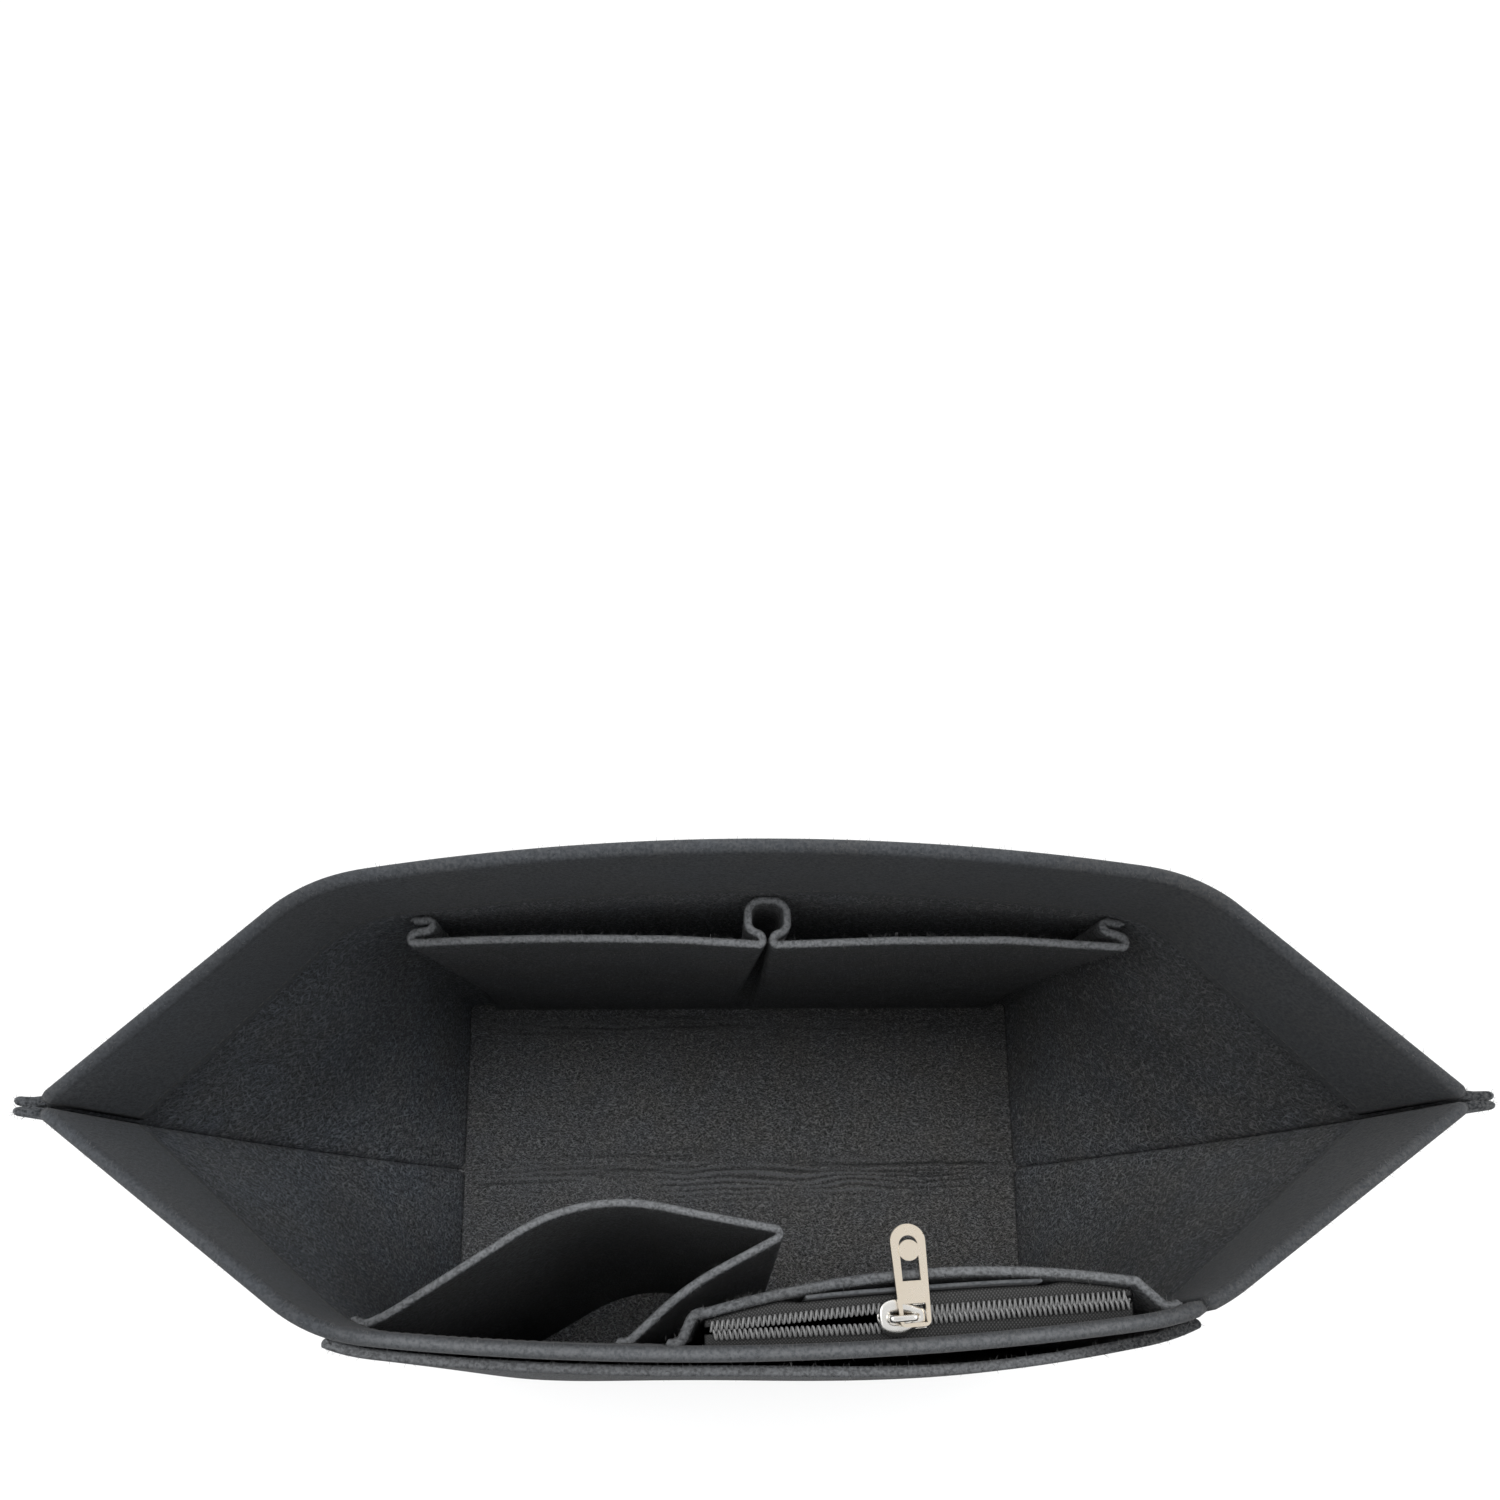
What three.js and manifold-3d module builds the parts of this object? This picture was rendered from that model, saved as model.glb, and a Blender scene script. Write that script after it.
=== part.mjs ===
import * as THREE from 'three';
import Module from 'manifold-3d';
import { mergeVertices } from 'three/addons/utils/BufferGeometryUtils.js';

// Felt handbag insert with a pleated, an open, a zipped and an outside pocket.
// Millimetres, +Z up, +X to the right, +Y to the back; origin at the middle of the base's underside.

// Felt and seams
const felt = 3; // walls, base and pockets
const thinFelt = 1.2; // rim bands and zip facing
const clearance = 0.3; // between faces that lie against each other
const finWidth = 7.5; // raw seam allowance standing out at each side seam
const seamFlange = 4; // pocket edge lying along the wall it is sewn to
const pocketLift = 1; // pocket seams above the base felt

// Body
const baseLength = 300;
const baseDepth = 185;
const baseCorner = 14; // run of each base corner's rounding
const rimHeight = 210; // long walls
const tipHeight = 199.5; // side seams
const foldHeight = 4; // upright strip round the base
const tipOverhang = 62.7; // side seams at the rim, out past the base walls
const endBelly = 10; // swell of the end creases at half height
const rimCorner = 13; // run of each rim corner's rounding
const backCornerLean = 20.8; // rim corners, in from the base corners
const frontCornerLean = 29.8;
const backLean = 28.3; // long walls at the rim, in from the base
const frontLean = 29.8;
const backBow = 11.5; // outward bow of the long rims
const frontBow = 8;
const frontSkew = 2; // the front rim stands this much further out at its left corner
const bandWidth = 33; // thin felt band inside the rim
const bandSetback = 7; // of the band's ends, from the side seams

// Back pocket
const backPocketShift = 6.5; // its middle, to the right of the base's middle
const backPocketHalf = 124; // from its middle to each side fold, at the top
const backPocketBaseShift = 3;
const backPocketBaseHalf = 138;
const backPocketDrop = 5; // its edge below the rim band
const pleatWidth = 7.5; // side pleats
const pleatStep = 3.5; // from layer to layer of a pleat
const pleatSlant = 0.6; // of each layer, from crease to crease
const pleatBend = 1.6; // run of the rounding at a pleat's edges
const pleatUnfolded = 3; // between a pleat's creases where it opens out flat at the base
const loopHalf = 6.8; // half the width of the pen loop
const loopMouth = 6.5; // from the pocket face to where the loop is widest
const loopBend = 3.2;
const loopUnfolded = 2.4; // between the loop's creases at the base

// Open pocket at the front left
const openPocketInset = 2; // its left seam, in from the front rim corner
const openPocketSeam = -40; // its right seam
const openPocketFold = 12.5; // its folded right edge
const openPocketFoldDepth = 38.5; // of that fold, from the wall, at the top
const openPocketBulge = 52; // corner of the rounded front run, from the wall
const openPocketBulgeAt = -56;
const openPocketBulgeBend = 26;
const openPocketReturn = 21; // corner of the run behind the fold, from the wall
const openPocketReturnAt = -21;
const openPocketReturnBend = 14;
const openPocketBaseLeft = -107;
const openPocketBaseFoldDepth = 19;
const openPocketBaseBulge = 33;
const openPocketBaseBulgeAt = -55;
const openPocketBaseReturn = 11;
const openPocketDrop = 3; // its edge below the rim band
const openFoldBend = 5;

// Zip pocket at the front right
const pocketSpacing = 14; // between the open pocket's seam and the zip pocket's edge
const zipLeft = -14;
const zipRight = 107.5;
const zipDrop = 8.7; // tape below the rim
const zipPanelProud = 2.2; // pocket edge above the tape
const zipDraw = 0.8; // how much closer to the wall the zip is drawn at its left end
const zipPanelSwell = 6.5; // of the panel away from the middle of the zip
const zipShoulder = 4; // from the zip's left end to the pocket's corner
const zipRightShoulder = 1.5;
const zipShoulderBend = 3;
const zipEndRun = 8.5; // from the right corner to the pocket's seam
const facingLeft = 14;
const facingRight = 82;
const facingDepth = 14;
const facingGape = 1.5; // how far its middle stands off the pocket's edge
const facingBlend = 8; // run in which the tape steps over the facing's ends
const tape = 0.5;
const tapeDrop = 7; // turned down along the felt
const tapeBend = 1.2;
const tapeOverrun = 1; // past each end of the coils

// Zip chain and slider
const toothPitch = 1.5;
const toothTip = 0.5;
const toothRoot = 0.65;
const toothOverlap = 0.5; // past the middle of the chain
const coilInner = 1.4; // from the middle of the chain to the foot of the teeth
const coilOuter = 2.8;
const coilHeight = 1.8;
const coilLift = 0.15; // above the tape
const zipSpread = 1.6; // each row's move aside at the slider's mouth
const sliderAt = 41.5;
const sliderLength = 13.6;
const sliderHalf = 5.2; // half width at the mouth
const sliderMouthHalf = 2.2; // half width of the flat at the mouth's end
const sliderTailHalf = 3.5;
const sliderLowerHalf = 4.4; // half width of the lower plate
const sliderShoulder = 2.2; // widest place, from the slider's middle
const sliderPlate = 1.2;
const sliderRunning = 0.3; // round the coils and the tapes
const sliderClosing = 1.5; // where the rows have closed, past the slider's middle
const postHalf = 0.7; // wedge between the rows
const postLength = 4.2;
const postSetback = 0.3;
const crownLeft = 3.9; // bridge legs, either side of the slider's middle
const crownRight = 3;
const crownLeg = 1.6;
const crownWidth = 2.2;
const crownOpening = 2.2;
const crownBar = 1.4;
const crownSink = 0.4; // of the legs into the top plate

// Pull tab
const pullThickness = 1.3;
const pullLift = 0.35; // above the slider's top plate
const pullLength = 26.2; // from the bridge leg to the tip
const pullTipHalf = 5;
const pullEyeHalf = 4.4;
const pullArm = 1.1;
const eyeFront = 1.6; // eye, from the bridge leg towards the wall
const eyeBack = 3.8;
const eyeCorner = 2.2; // run of the rounding at the eye's outer corners
const pullBand = 6.3; // solid stretch between the eye and the window
const pullRim = 3.3; // metal past the window's round end
const windowHalf = 2.6;
const discRadius = 3; // button across the window
const discAt = 18.7;
const discProud = 0.3;

// Outside pocket
const outerPocketDrop = 7; // its edge below the rim
const outerBelly = 6.5; // at half height
const mouthGap = 5; // where its edge stands open
const mouthAt = 68;
const mouthHalf = 50;

// Facets
const endSteps = 4;
const bendSteps = 5;
const longSteps = 14;
const wallRows = 6;
const pocketRows = 7;
const cornerSteps = 4;
const faceSteps = 5;
const panelSteps = 14;
const tapeSteps = 28;
const facingSteps = 8;
const coilBackSteps = 24;
const pullSteps = 12;
const buttonSides = 24;

const baseHalfX = baseLength / 2 + clearance + felt / 2;
const baseHalfY = baseDepth / 2 + clearance + felt / 2;
const seamReach = baseHalfX + tipOverhang;
const seamGap = (felt + clearance) / 2;
const seat = felt + clearance; // from a wall's middle to the middle of felt lying on it
const pocketFloor = felt + pocketLift;
const bandEdge = rimHeight - bandWidth;
const zipHeight = rimHeight - zipDrop; // top of the tapes
const zipPanelTop = zipHeight + zipPanelProud;
const tapeSlit = postHalf + sliderRunning; // from the middle of the chain to the tape's edge
const zipSetback = felt / 2 + 2 * clearance + tape + sliderHalf;
const zipSpan = coilOuter + tape + 2 * clearance + felt / 2;
const slope = 0.5; // half step over which a wall's direction is taken
const weld = 1e-4; // points closer than this are one
const straight = 0.01; // turn, in radians, below which a corner is flat
const fitShare = 0.48; // the most of a run that one corner's rounding may take

const backWall = {
  side: 1,
  cornerLean: backCornerLean,
  lean: backLean,
  bow: backBow,
  skew: 0,
};
const frontWall = {
  side: -1,
  cornerLean: frontCornerLean,
  lean: frontLean,
  bow: frontBow,
  skew: frontSkew,
};

const { lerp, clamp, smoothstep } = THREE.MathUtils;
const point = (x, y, z) => new THREE.Vector3(x, y, z);
const evenly = (count, make) => Array.from({ length: count + 1 }, (_, i) => make(i / count));

const wasm = await Module();
wasm.setup();

// A closed geometry as a solid that can be joined and cut
function solid(geometry) {
  const bare = geometry.clone();
  bare.deleteAttribute('normal');
  bare.deleteAttribute('uv');
  const merged = mergeVertices(bare, weld);
  const vertProperties = Float32Array.from(merged.attributes.position.array);
  const triVerts = Uint32Array.from(merged.index.array);
  return new wasm.Manifold(new wasm.Mesh({ numProp: 3, vertProperties, triVerts }));
}

function geometryOf(manifold) {
  const mesh = manifold.getMesh();
  const geometry = new THREE.BufferGeometry();
  geometry.setAttribute('position', new THREE.Float32BufferAttribute(mesh.vertProperties, 3));
  geometry.setIndex(Array.from(mesh.triVerts));
  geometry.computeVertexNormals();
  return geometry;
}

// A flat shape raised from one height to another
function raised(shape, from, to, curveSegments = cornerSteps) {
  const settings = { depth: to - from, bevelEnabled: false, curveSegments };
  return new THREE.ExtrudeGeometry(shape, settings).translate(0, 0, from);
}

// Sizes of one wall's plan, from the base at level 0 to the rim at level 1
function plan(wall, level) {
  return {
    seamX: lerp(baseHalfX, seamReach, level) + endBelly * Math.sin(Math.PI * level),
    cornerX: baseHalfX - wall.cornerLean * level,
    reach: baseHalfY - wall.lean * level,
    bow: wall.bow * level,
    skew: wall.skew * level,
    cut: lerp(baseCorner, rimCorner, level),
  };
}

const levelOf = (z) => clamp((z - foldHeight) / (rimHeight - foldHeight), 0, 1);

// Distance of a long wall from the middle plane before its corners are rounded
function longReach(p, x) {
  const share = x / p.cornerX;
  return p.reach - p.skew * share + p.bow * (1 - share * share);
}

// The three control points of a rounded corner, from the end wall to the long wall
function cornerPoints(p, hand) {
  const corner = new THREE.Vector2(hand * p.cornerX, longReach(p, hand * p.cornerX));
  const seam = new THREE.Vector2(hand * p.seamX, seamGap);
  const innerX = hand * (p.cornerX - p.cut);
  const start = seam.sub(corner).setLength(p.cut).add(corner);
  return [start, corner, new THREE.Vector2(innerX, longReach(p, innerX))];
}

// Distance of a long wall's middle surface from the middle plane, its rounded corners included
function wallReach(wall, x, z) {
  const p = plan(wall, levelOf(z));
  if (Math.abs(x) <= p.cornerX - p.cut) return longReach(p, x);
  const [start, corner, end] = cornerPoints(p, Math.sign(x));
  const a = end.x - 2 * corner.x + start.x;
  const b = 2 * (corner.x - end.x);
  const c = end.x - x;
  const root = Math.sqrt(Math.max(0, b * b - 4 * a * c));
  const t = (2 * c) / (-b - Math.sign(b) * root);
  return (1 - t) ** 2 * end.y + 2 * t * (1 - t) * corner.y + t * t * start.y;
}

// A point at a depth inside a long wall, or outside it where the depth is negative, square to its plan
function insideWall(wall, x, depth, z) {
  const rise = (wallReach(wall, x + slope, z) - wallReach(wall, x - slope, z)) / (2 * slope);
  return point(x, wall.side * (wallReach(wall, x, z) - depth * Math.hypot(1, rise)), z);
}

// Stations of a body panel from its left seam to its right seam.
// Each gives x, the distance from the middle plane and how far the rim has risen from tip to corner.
function halfStations(hand) {
  const along = (share) => (p) => {
    const [start] = cornerPoints(p, hand);
    const run = Math.hypot(start.x - hand * p.seamX, start.y - seamGap);
    const t = lerp(bandSetback / run, 1, share);
    return [lerp(hand * p.seamX, start.x, t), lerp(seamGap, start.y, t), t];
  };
  const round = (t) => (p) => {
    const bend = new THREE.QuadraticBezierCurve(...cornerPoints(p, hand)).getPoint(t);
    return [bend.x, bend.y, 1];
  };
  const fin = (p) => [hand * (p.seamX + finWidth), seamGap, 0];
  const seam = (p) => [hand * p.seamX, seamGap, 0];
  return [fin, seam, ...evenly(endSteps, along), ...evenly(bendSteps, round).slice(1)];
}

function stations() {
  const long = evenly(longSteps, (share) => (p) => {
    const x = (2 * share - 1) * (p.cornerX - p.cut);
    return [x, longReach(p, x), 1];
  });
  return [...halfStations(-1), ...long.slice(1, -1), ...halfStations(1).reverse()];
}

// Points of a body panel's middle surface, by station and by level; a level below 0 is the ground
function panelGrid(wall, list, levels) {
  return list.map((station) => levels.map((level) => {
    const [x, y, rise] = station(plan(wall, Math.max(level, 0)));
    const height = lerp(tipHeight, rimHeight, rise);
    return point(x, wall.side * y, level < 0 ? 0 : lerp(foldHeight, height, level));
  }));
}

// A grid of points moved along its own normals, by a distance for each point
function setOff(grid, distanceAt) {
  const at = (i, j) => grid[clamp(i, 0, grid.length - 1)][clamp(j, 0, grid[0].length - 1)];
  return grid.map((column, i) => column.map((here, j) => {
    const across = at(i + 1, j).clone().sub(at(i - 1, j));
    const up = at(i, j + 1).clone().sub(at(i, j - 1));
    return here.clone().addScaledVector(across.cross(up).normalize(), distanceAt(here));
  }));
}

// A closed sheet with its middle on a grid of points
function sheet(grid, thickness) {
  const columns = grid.length;
  const rows = grid[0].length;
  const sides = [thickness / 2, -thickness / 2];
  const positions = sides.flatMap((half) => setOff(grid, () => half).flat().flatMap((p) => [...p]));
  const front = (i, j) => i * rows + j;
  const back = (i, j) => columns * rows + front(i, j);
  const faces = [];
  const quad = (a, b, c, d) => faces.push(a, b, c, a, c, d);
  for (let i = 0; i < columns - 1; i++) {
    for (let j = 0; j < rows - 1; j++) {
      quad(front(i, j), front(i + 1, j), front(i + 1, j + 1), front(i, j + 1));
      quad(back(i, j), back(i, j + 1), back(i + 1, j + 1), back(i + 1, j));
    }
    quad(back(i, 0), back(i + 1, 0), front(i + 1, 0), front(i, 0));
    quad(front(i, rows - 1), front(i + 1, rows - 1), back(i + 1, rows - 1), back(i, rows - 1));
  }
  const last = columns - 1;
  for (let j = 0; j < rows - 1; j++) {
    quad(front(0, j), front(0, j + 1), back(0, j + 1), back(0, j));
    quad(back(last, j), back(last, j + 1), front(last, j + 1), front(last, j));
  }
  const geometry = new THREE.BufferGeometry();
  geometry.setAttribute('position', new THREE.Float32BufferAttribute(positions, 3));
  geometry.setIndex(faces);
  geometry.computeVertexNormals();
  return geometry;
}

// Points along straight runs joined by rounded corners.
// A corner has x, depth, the run that its rounding takes each way, and the steps of the run after it.
function roundedPath(corners) {
  const places = corners.map(({ x, depth }) => new THREE.Vector2(x, depth));
  const points = [];
  let from = places[0];
  const runTo = (to, steps) => {
    for (let i = 0; i < steps; i++) points.push(from.clone().lerp(to, i / steps));
    from = to;
  };
  for (let n = 1; n < corners.length; n++) {
    const here = places[n];
    const steps = corners[n - 1].steps ?? 1;
    if (!corners[n].bend) {
      runTo(here, steps);
      continue;
    }
    const before = places[n - 1].clone().sub(here);
    const after = places[n + 1].clone().sub(here);
    const bend = Math.min(corners[n].bend, fitShare * before.length(), fitShare * after.length());
    before.setLength(bend);
    after.setLength(bend);
    const turn = Math.PI - before.angleTo(after);
    const handle = turn < straight ? 2 / 3 : (4 * Math.tan(turn / 4)) / (3 * Math.tan(turn / 2));
    const control = (leg) => here.clone().addScaledVector(leg, 1 - handle);
    runTo(here.clone().add(before), steps);
    const to = here.clone().add(after);
    const round = new THREE.CubicBezierCurve(from, control(before), control(after), to);
    points.push(...evenly(cornerSteps, (t) => round.getPoint(t)).slice(0, -1));
    from = to;
  }
  return [...points, from];
}

// A pocket sheet whose path in plan changes evenly from its lower edge to its upper edge
function pocketSheet(wall, lower, upper, top) {
  const low = roundedPath(lower);
  const grid = roundedPath(upper).map((high, i) => evenly(pocketRows, (share) => {
    const at = low[i].clone().lerp(high, share);
    return insideWall(wall, at.x, at.y, lerp(pocketFloor, top, share));
  }));
  return sheet(grid, felt);
}

// Base: one flat felt panel inside the walls
function basePanel() {
  const x = baseLength / 2;
  const y = baseDepth / 2;
  const shape = new THREE.Shape();
  shape.moveTo(-x + baseCorner, -y);
  shape.lineTo(x - baseCorner, -y).quadraticCurveTo(x, -y, x, -y + baseCorner);
  shape.lineTo(x, y - baseCorner).quadraticCurveTo(x, y, x - baseCorner, y);
  shape.lineTo(-x + baseCorner, y).quadraticCurveTo(-x, y, -x, y - baseCorner);
  shape.lineTo(-x, -y + baseCorner).quadraticCurveTo(-x, -y, -x + baseCorner, -y);
  return raised(shape, 0, felt, bendSteps);
}

const bodyStations = stations();
const bandLevel = levelOf(bandEdge);
const bandLevels = evenly(2, (share) => lerp(bandLevel, 1, share));
const wallLevels = [-1, ...evenly(wallRows, (share) => share * bandLevel).slice(0, -1), ...bandLevels];

// Front or back panel: one sheet from seam fin to seam fin
const bodyPanel = (wall) => sheet(panelGrid(wall, bodyStations, wallLevels), felt);

// Rim band: thin felt inside the rim, over the stations that lie within a range of x
function rimBand(wall, left, right) {
  const rim = plan(wall, 1);
  const inside = bodyStations.filter((station, i) => {
    const [x] = station(rim);
    return x >= left && x <= right && i > 1 && i < bodyStations.length - 2;
  });
  const inward = felt / 2 + clearance + thinFelt / 2;
  return sheet(setOff(panelGrid(wall, inside, bandLevels), () => wall.side * inward), thinFelt);
}

// Back pocket: a pleat at each side and a pen loop in the middle, opened out flat along its lower edge
function backPocket() {
  const top = bandEdge - backPocketDrop;
  const middle = backPocketShift;
  const neck = felt / 2 + clearance;
  const layer = (slants, steps) => seat + slants * pleatSlant + steps * pleatStep;
  const foldDepth = layer(2, 2);
  const foldReach = (hand) => wallReach(backWall, middle + hand * backPocketHalf, top) - foldDepth;
  const face = wallReach(backWall, middle, top) - (foldReach(-1) + foldReach(1)) / 2;
  const upperHalf = (hand) => {
    const edge = middle + hand * backPocketHalf;
    const crease = edge - hand * pleatWidth;
    return [
      { x: edge, depth: seat },
      { x: crease, depth: layer(1, 0), bend: pleatBend },
      { x: crease, depth: layer(1, 1), bend: pleatBend },
      { x: edge, depth: layer(2, 1), bend: pleatBend },
      { x: edge, depth: foldDepth, bend: pleatBend, steps: hand < 0 ? faceSteps : 1 },
      { x: middle + hand * neck, depth: face, bend: pleatBend, steps: hand < 0 ? 1 : faceSteps },
      { x: middle + hand * neck, depth: face - pleatStep, bend: pleatBend },
      { x: middle + hand * loopHalf, depth: face - loopMouth, bend: loopBend },
      { x: middle + hand * loopHalf, depth: seat, bend: loopBend },
    ];
  };
  const lowerHalf = (hand, upper) => {
    const edge = backPocketBaseShift + hand * backPocketBaseHalf;
    const fold = upper.findIndex((corner) => corner.depth === foldDepth);
    return upper.map((corner, i) => {
      const fromLoop = (upper.length - i) * loopUnfolded;
      const x = i > fold ? backPocketBaseShift + hand * fromLoop : edge - hand * i * pleatUnfolded;
      return { ...corner, x, depth: seat, bend: corner.bend && clearance };
    });
  };
  const left = upperHalf(-1);
  const right = upperHalf(1);
  const upper = [...left, ...right.toReversed()];
  const lower = [...lowerHalf(-1, left), ...lowerHalf(1, right).toReversed()];
  return pocketSheet(backWall, lower, upper, top);
}

// Open pocket: one strip sewn to the front wall at both ends, folded back on itself at its right
function openPocket() {
  const top = bandEdge - openPocketDrop;
  const left = openPocketInset - plan(frontWall, levelOf(top)).cornerX;
  const path = (start, bulgeAt, bulge, foldDepth, returnDepth) => [
    { x: start - seamFlange, depth: seat },
    { x: start, depth: seat, bend: seamFlange, steps: 3 },
    { x: bulgeAt, depth: bulge, bend: openPocketBulgeBend, steps: 3 },
    { x: openPocketFold, depth: foldDepth, bend: openFoldBend, steps: 2 },
    { x: openPocketReturnAt, depth: returnDepth, bend: openPocketReturnBend, steps: 2 },
    { x: openPocketSeam, depth: seat, bend: seamFlange },
    { x: openPocketSeam - seamFlange, depth: seat },
  ];
  const lower = path(
    openPocketBaseLeft,
    openPocketBaseBulgeAt,
    openPocketBaseBulge,
    openPocketBaseFoldDepth,
    openPocketBaseReturn,
  );
  const upper = path(
    left,
    openPocketBulgeAt,
    openPocketBulge,
    openPocketFoldDepth,
    openPocketReturn,
  );
  return pocketSheet(frontWall, lower, upper, top);
}

// Middle line of the zip: straight, with room for the slider along the bowed wall
const zipLeftReach = wallReach(frontWall, zipLeft, zipHeight) - zipSetback + zipDraw;
const zipRightReach = wallReach(frontWall, zipRight, zipHeight) - zipSetback;
const zipReach = (x) => lerp(zipLeftReach, zipRightReach, (x - zipLeft) / (zipRight - zipLeft));
const zipAngle = Math.atan2(zipLeftReach - zipRightReach, zipRight - zipLeft);
const zipLength = (zipRight - zipLeft) / Math.cos(zipAngle);
const sliderPlace = (sliderAt - zipLeft) / Math.cos(zipAngle);

// How far each row of teeth stands aside, at a place along the chain: none where the zip is closed
function rowShift(place) {
  const mouth = sliderPlace - sliderLength / 2;
  const parted = zipSpread * clamp(place / mouth, 0, 1);
  return parted * (1 - smoothstep(place, mouth, sliderPlace + sliderClosing));
}

// Depth of the zip pocket's panel at its edge, and below it
function zipPanelEdge(x) {
  const half = (zipRight - zipLeft) / 2;
  const off = (x - zipLeft - half) / half;
  const span = zipSpan + zipPanelSwell * Math.max(0, 1 - off * off);
  return wallReach(frontWall, x, zipPanelTop) - zipReach(x) + span;
}
function zipPanelDepth(x, z) {
  return lerp(seat, zipPanelEdge(x), (z - pocketFloor) / (zipPanelTop - pocketFloor));
}

// Zip pocket: a panel that leans out from the foot of the wall to the zip
function zipPanel() {
  const left = openPocketSeam + pocketSpacing + seamFlange;
  const first = zipLeft - zipShoulder;
  const last = zipRight + zipRightShoulder;
  const between = evenly(panelSteps, (share) => lerp(zipLeft, zipRight, share));
  const path = (depthAt) => [
    { x: left - seamFlange, depth: seat },
    { x: left, depth: seat, bend: zipShoulderBend, steps: 2 },
    { x: first, depth: depthAt(first), bend: zipShoulderBend },
    ...between.map((x) => ({ x, depth: depthAt(x) })),
    { x: last, depth: depthAt(last), bend: zipShoulderBend, steps: 2 },
    { x: last + zipEndRun, depth: seat, bend: zipShoulderBend },
    { x: last + zipEndRun + seamFlange, depth: seat },
  ];
  return pocketSheet(frontWall, path(() => seat), path(zipPanelEdge), zipPanelTop);
}

// How far the facing's middle stands off the zip pocket's panel
function facingStandOff(x) {
  const share = clamp((x - facingLeft) / (facingRight - facingLeft), 0, 1);
  return facingGape * Math.sin(Math.PI * share);
}

// Facing: thin felt inside the zip pocket's edge, behind the middle of the zip
function zipFacing() {
  const behind = felt / 2 + clearance + thinFelt / 2;
  const grid = evenly(facingSteps, (share) => {
    const x = lerp(facingLeft, facingRight, share);
    const heights = evenly(2, (up) => zipPanelTop - clearance - facingDepth * (1 - up));
    const depth = (z) => zipPanelDepth(x, z) - behind - facingStandOff(x);
    return heights.map((z) => insideWall(frontWall, x, depth(z), z));
  });
  return sheet(grid, thinFelt);
}

// One zip tape: flat from under its coil to the felt, then turned down along it
function zipTape(legDepth, hand) {
  const middle = zipHeight - tape / 2;
  const grid = evenly(tapeSteps, (share) => {
    const x = lerp(zipLeft - tapeOverrun, zipRight + tapeOverrun, share);
    const slit = tapeSlit + rowShift((x - zipLeft) / Math.cos(zipAngle));
    const start = hand * slit - zipReach(x);
    const leg = (z) => insideWall(frontWall, x, legDepth(x, z), z);
    const fold = leg(middle).y - hand * tapeBend;
    const soft = tapeBend * (1 - Math.SQRT1_2);
    return [
      point(x, start, middle),
      point(x, (start + fold) / 2, middle),
      point(x, fold, middle),
      leg(middle - soft).add(point(0, -hand * soft, 0)),
      leg(middle - tapeBend),
      leg(middle - tapeDrop),
    ];
  });
  return sheet(grid, tape);
}

const wallTapeLeg = () => felt / 2 + clearance + tape / 2;
function pocketTapeLeg(x, z) {
  const over = smoothstep(x, facingLeft - facingBlend, facingLeft);
  const past = 1 - smoothstep(x, facingRight, facingRight + facingBlend);
  const behind = felt / 2 + clearance + tape / 2 + over * past * (thinFelt + clearance);
  return zipPanelDepth(x, z) - behind - facingStandOff(x);
}

// One row of teeth on its spine, laid along the chain from its left end
function coilRow(hand) {
  const across = (place, distance) => [place, hand * (distance + rowShift(place))];
  const count = Math.floor(zipLength / toothPitch) - 1;
  const shape = new THREE.Shape().moveTo(...across(0, coilOuter)).lineTo(...across(0, coilInner));
  for (let i = 0; i < count; i++) {
    const place = (i + (hand > 0 ? 0.5 : 1)) * toothPitch;
    shape.lineTo(...across(place - toothRoot / 2, coilInner));
    shape.lineTo(...across(place - toothTip / 2, -toothOverlap));
    shape.lineTo(...across(place + toothTip / 2, -toothOverlap));
    shape.lineTo(...across(place + toothRoot / 2, coilInner));
  }
  shape.lineTo(...across(zipLength, coilInner));
  for (let i = coilBackSteps; i > 0; i--) {
    shape.lineTo(...across((i / coilBackSteps) * zipLength, coilOuter));
  }
  return raised(shape, coilLift, coilLift + coilHeight);
}

// Slider: two plates on a wedge, flanges round the rows, and a bridge along the top
const sliderFloor = -tape - sliderRunning;
const sliderRoof = coilLift + coilHeight + sliderRunning;
const sliderTop = sliderRoof + sliderPlate;
function sliderOutline(wide) {
  const end = sliderLength / 2;
  const tail = Math.min(sliderTailHalf, wide);
  const outline = new THREE.Shape().moveTo(end, -tail).lineTo(end, tail);
  outline.bezierCurveTo(end / 3, tail, 0, wide, -sliderShoulder, wide);
  outline.quadraticCurveTo(-end, wide, -end, sliderMouthHalf).lineTo(-end, -sliderMouthHalf);
  outline.quadraticCurveTo(-end, -wide, -sliderShoulder, -wide);
  outline.bezierCurveTo(0, -wide, end / 3, -tail, end, -tail);
  return outline;
}

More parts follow.
